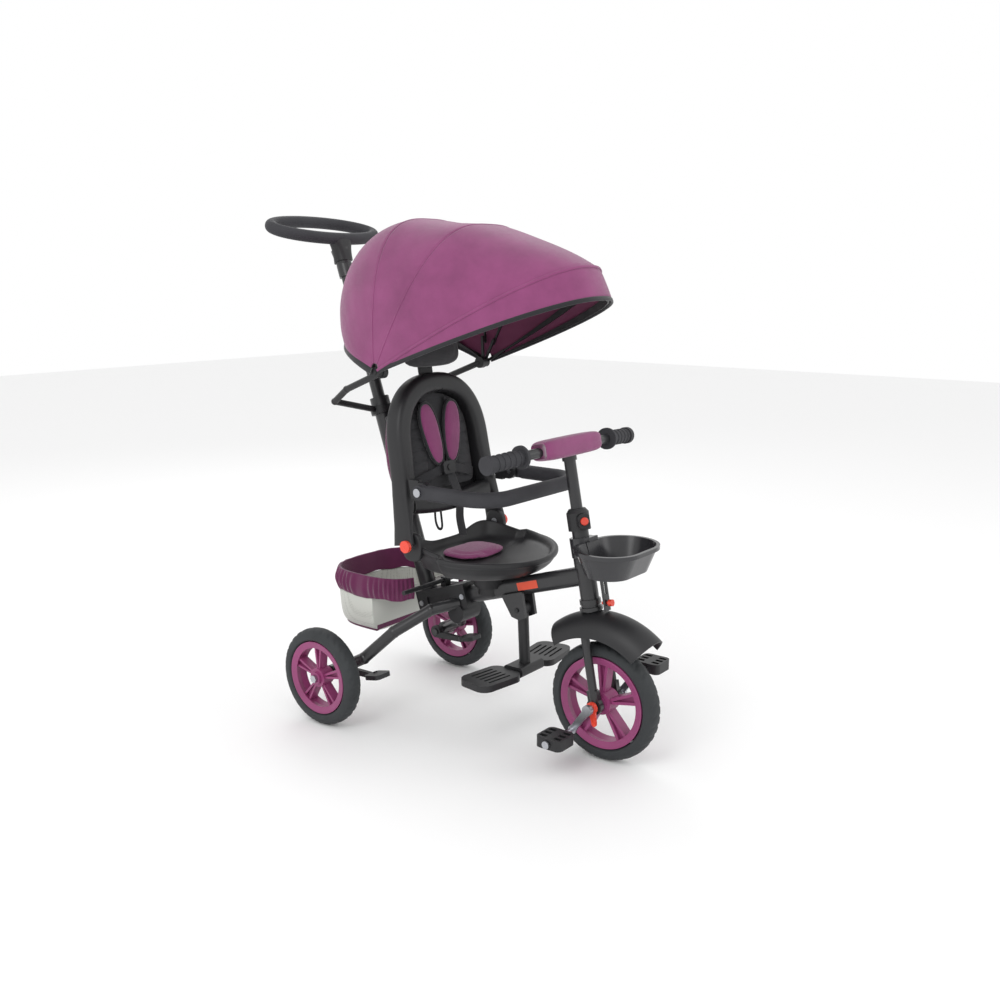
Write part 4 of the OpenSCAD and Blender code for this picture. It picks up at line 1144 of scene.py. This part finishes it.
class FrameFinishes:
    """Gives each CAD node that stays its finish."""

    LOOK: dict[Stock, tuple[str, ...]] = {
        Stock.BLACK_PP: ("pedal_right", "pedal_left", "fender", "stem_clamp", "seat_pedestal",
                         "guardrail_sockets", "canopy_bracket", "canopy_rear_bow", "canopy_mid_bow",
                         "canopy_front_bow", "footrest", "brake_lever_right", "brake_lever_left",
                         "rear_junction", "harness_buckle"),
        Stock.GLOSS_ABS: ("tray",),
        Stock.FRAME_COAT: ("fork", "stem_tube", "handlebar", "head_tube", "main_tube", "rear_leg_right",
                           "rear_leg_left", "handle_lower_tube", "handle_upper", "footrest_lugs"),
        Stock.RIM_PP: ("front_rim", "rear_rim_right", "rear_rim_left"),
        Stock.RED_ABS: ("fork_knob", "clutch_lever", "clamp_button", "recline_button_right",
                        "recline_button_left"),
        Stock.STEEL: ("crank_set", "junction_rivets", "wheel_bolts", "recline_pins", "guardrail_screws"),
        Stock.FOAM: ("grips", "guardrail"),
        Stock.VINYL: ("side_stickers",),
    }

    def apply(self) -> None:
        """Assigns the finishes to the nodes' own material slots."""
        for finish, nodes in self.LOOK.items():
            material = finish.value.build()
            for node in nodes:
                for slot in frame["nodes"][node].material_slots:
                    slot.material = material
                LOG.info("%s keeps its shape, in %s", node, finish.value.name)


@dataclass
class Studio:
    """Pale floor, soft lights and the camera."""

    azimuth: float = 37.718
    elevation: float = 12.129
    distance: float = 2.293
    target: tuple[float, float, float] = (0.092, 0.0, 0.499)

    def floor(self) -> None:
        """A wide pale floor that turns white for the camera away from shadows."""
        mesh = bpy.data.meshes.new("studio_floor")
        mesh.from_pydata([(-9, -9, 0), (9, -9, 0), (9, 9, 0), (-9, 9, 0)], [], [(0, 1, 2, 3)])
        floor = bpy.data.objects.new("studio_floor", mesh)
        bpy.context.scene.collection.objects.link(floor)
        material = bpy.data.materials.new("matt_white_floor")
        material.use_nodes = True
        shader = material.node_tree.nodes["Principled BSDF"]
        shader.inputs["Base Color"].default_value = (0.97, 0.97, 0.97, 1)
        shader.inputs["Roughness"].default_value = 0.9
        mesh.materials.append(material)

    def world(self) -> None:
        """A pale world that the camera, gloss and glass see as white."""
        world = bpy.data.worlds.new("studio_world")
        bpy.context.scene.world = world
        world.use_nodes = True
        tree = world.node_tree
        tree.nodes.clear()
        path = add(tree, "ShaderNodeLightPath")
        seen = add(tree, "ShaderNodeMath", {"operation": "MAXIMUM"},
                   {0: path.outputs["Is Camera Ray"], 1: path.outputs["Is Glossy Ray"]})
        seen = add(tree, "ShaderNodeMath", {"operation": "MAXIMUM"},
                   {0: seen.outputs[0], 1: path.outputs["Is Transmission Ray"]})
        strength = add(tree, "ShaderNodeMapRange", inputs={
            "Value": seen.outputs[0], "To Min": 0.92, "To Max": 1.0})
        back = add(tree, "ShaderNodeBackground", inputs={
            "Color": (1, 1, 1, 1), "Strength": strength.outputs[0]})
        add(tree, "ShaderNodeOutputWorld", inputs={"Surface": back.outputs[0]})

    def lamp(self, name: str, place: tuple[float, float, float], size: float, power: float) -> None:
        """One large soft lamp aimed at the middle of the tricycle."""
        light = bpy.data.lights.new(name, "AREA")
        light.shape, light.size, light.energy = "DISK", size, power
        lamp = bpy.data.objects.new(name, light)
        bpy.context.scene.collection.objects.link(lamp)
        lamp.location = place
        lamp.rotation_euler = (Vector((0, 0, 0.5)) - Vector(place)).to_track_quat("-Z", "Y").to_euler()

    def camera(self) -> None:
        """The camera, from its azimuth, elevation and distance."""
        a, e = math.radians(self.azimuth), math.radians(self.elevation)
        back = Vector((math.sin(a) * math.cos(e), -math.cos(a) * math.cos(e), math.sin(e)))
        data = bpy.data.cameras.new("studio_camera")
        data.sensor_width, data.lens, data.shift_y = 36.0, 38.65, 0.0058
        camera = bpy.data.objects.new("studio_camera", data)
        bpy.context.scene.collection.objects.link(camera)
        camera.location = Vector(self.target) + back * self.distance
        camera.rotation_euler = (-back).to_track_quat("-Z", "Y").to_euler()
        bpy.context.scene.camera = camera

    def build(self) -> None:
        """Sets the stage and the view transform."""
        bpy.context.scene.view_settings.view_transform = "Standard"
        self.floor()
        self.world()
        self.lamp("key_lamp", (0.6, -2.6, 2.6), 1.8, 26)
        self.lamp("fill_lamp", (2.6, 1.2, 1.9), 1.8, 10)
        self.lamp("rim_lamp", (-2.2, 1.6, 2.4), 1.4, 12)
        self.camera()


def main() -> None:
    logging.basicConfig(level=logging.INFO, format="%(name)s: %(message)s")
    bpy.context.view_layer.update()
    Studio().build()
    FrameFinishes().apply()
    Wheel("front_tyre_shaped", (0.365, 0, 0.125), 0.1249, 0.0219, 0.0972, "front_wheel", 34).build()
    for side, y in (("right", -0.232), ("left", 0.232)):
        Wheel(f"rear_tyre_{side}_shaped", (-0.228, y, 0.110), 0.1099, 0.0199, 0.0822,
              f"rear_wheel_{side}", 30).build()
    SeatShell().build()
    SeatPad().build()
    Backrest().build()
    Canopy().build()
    HandlebarPad().build()
    Basket().build()
    PushRing().build()


if __name__ == "__main__":
    main()
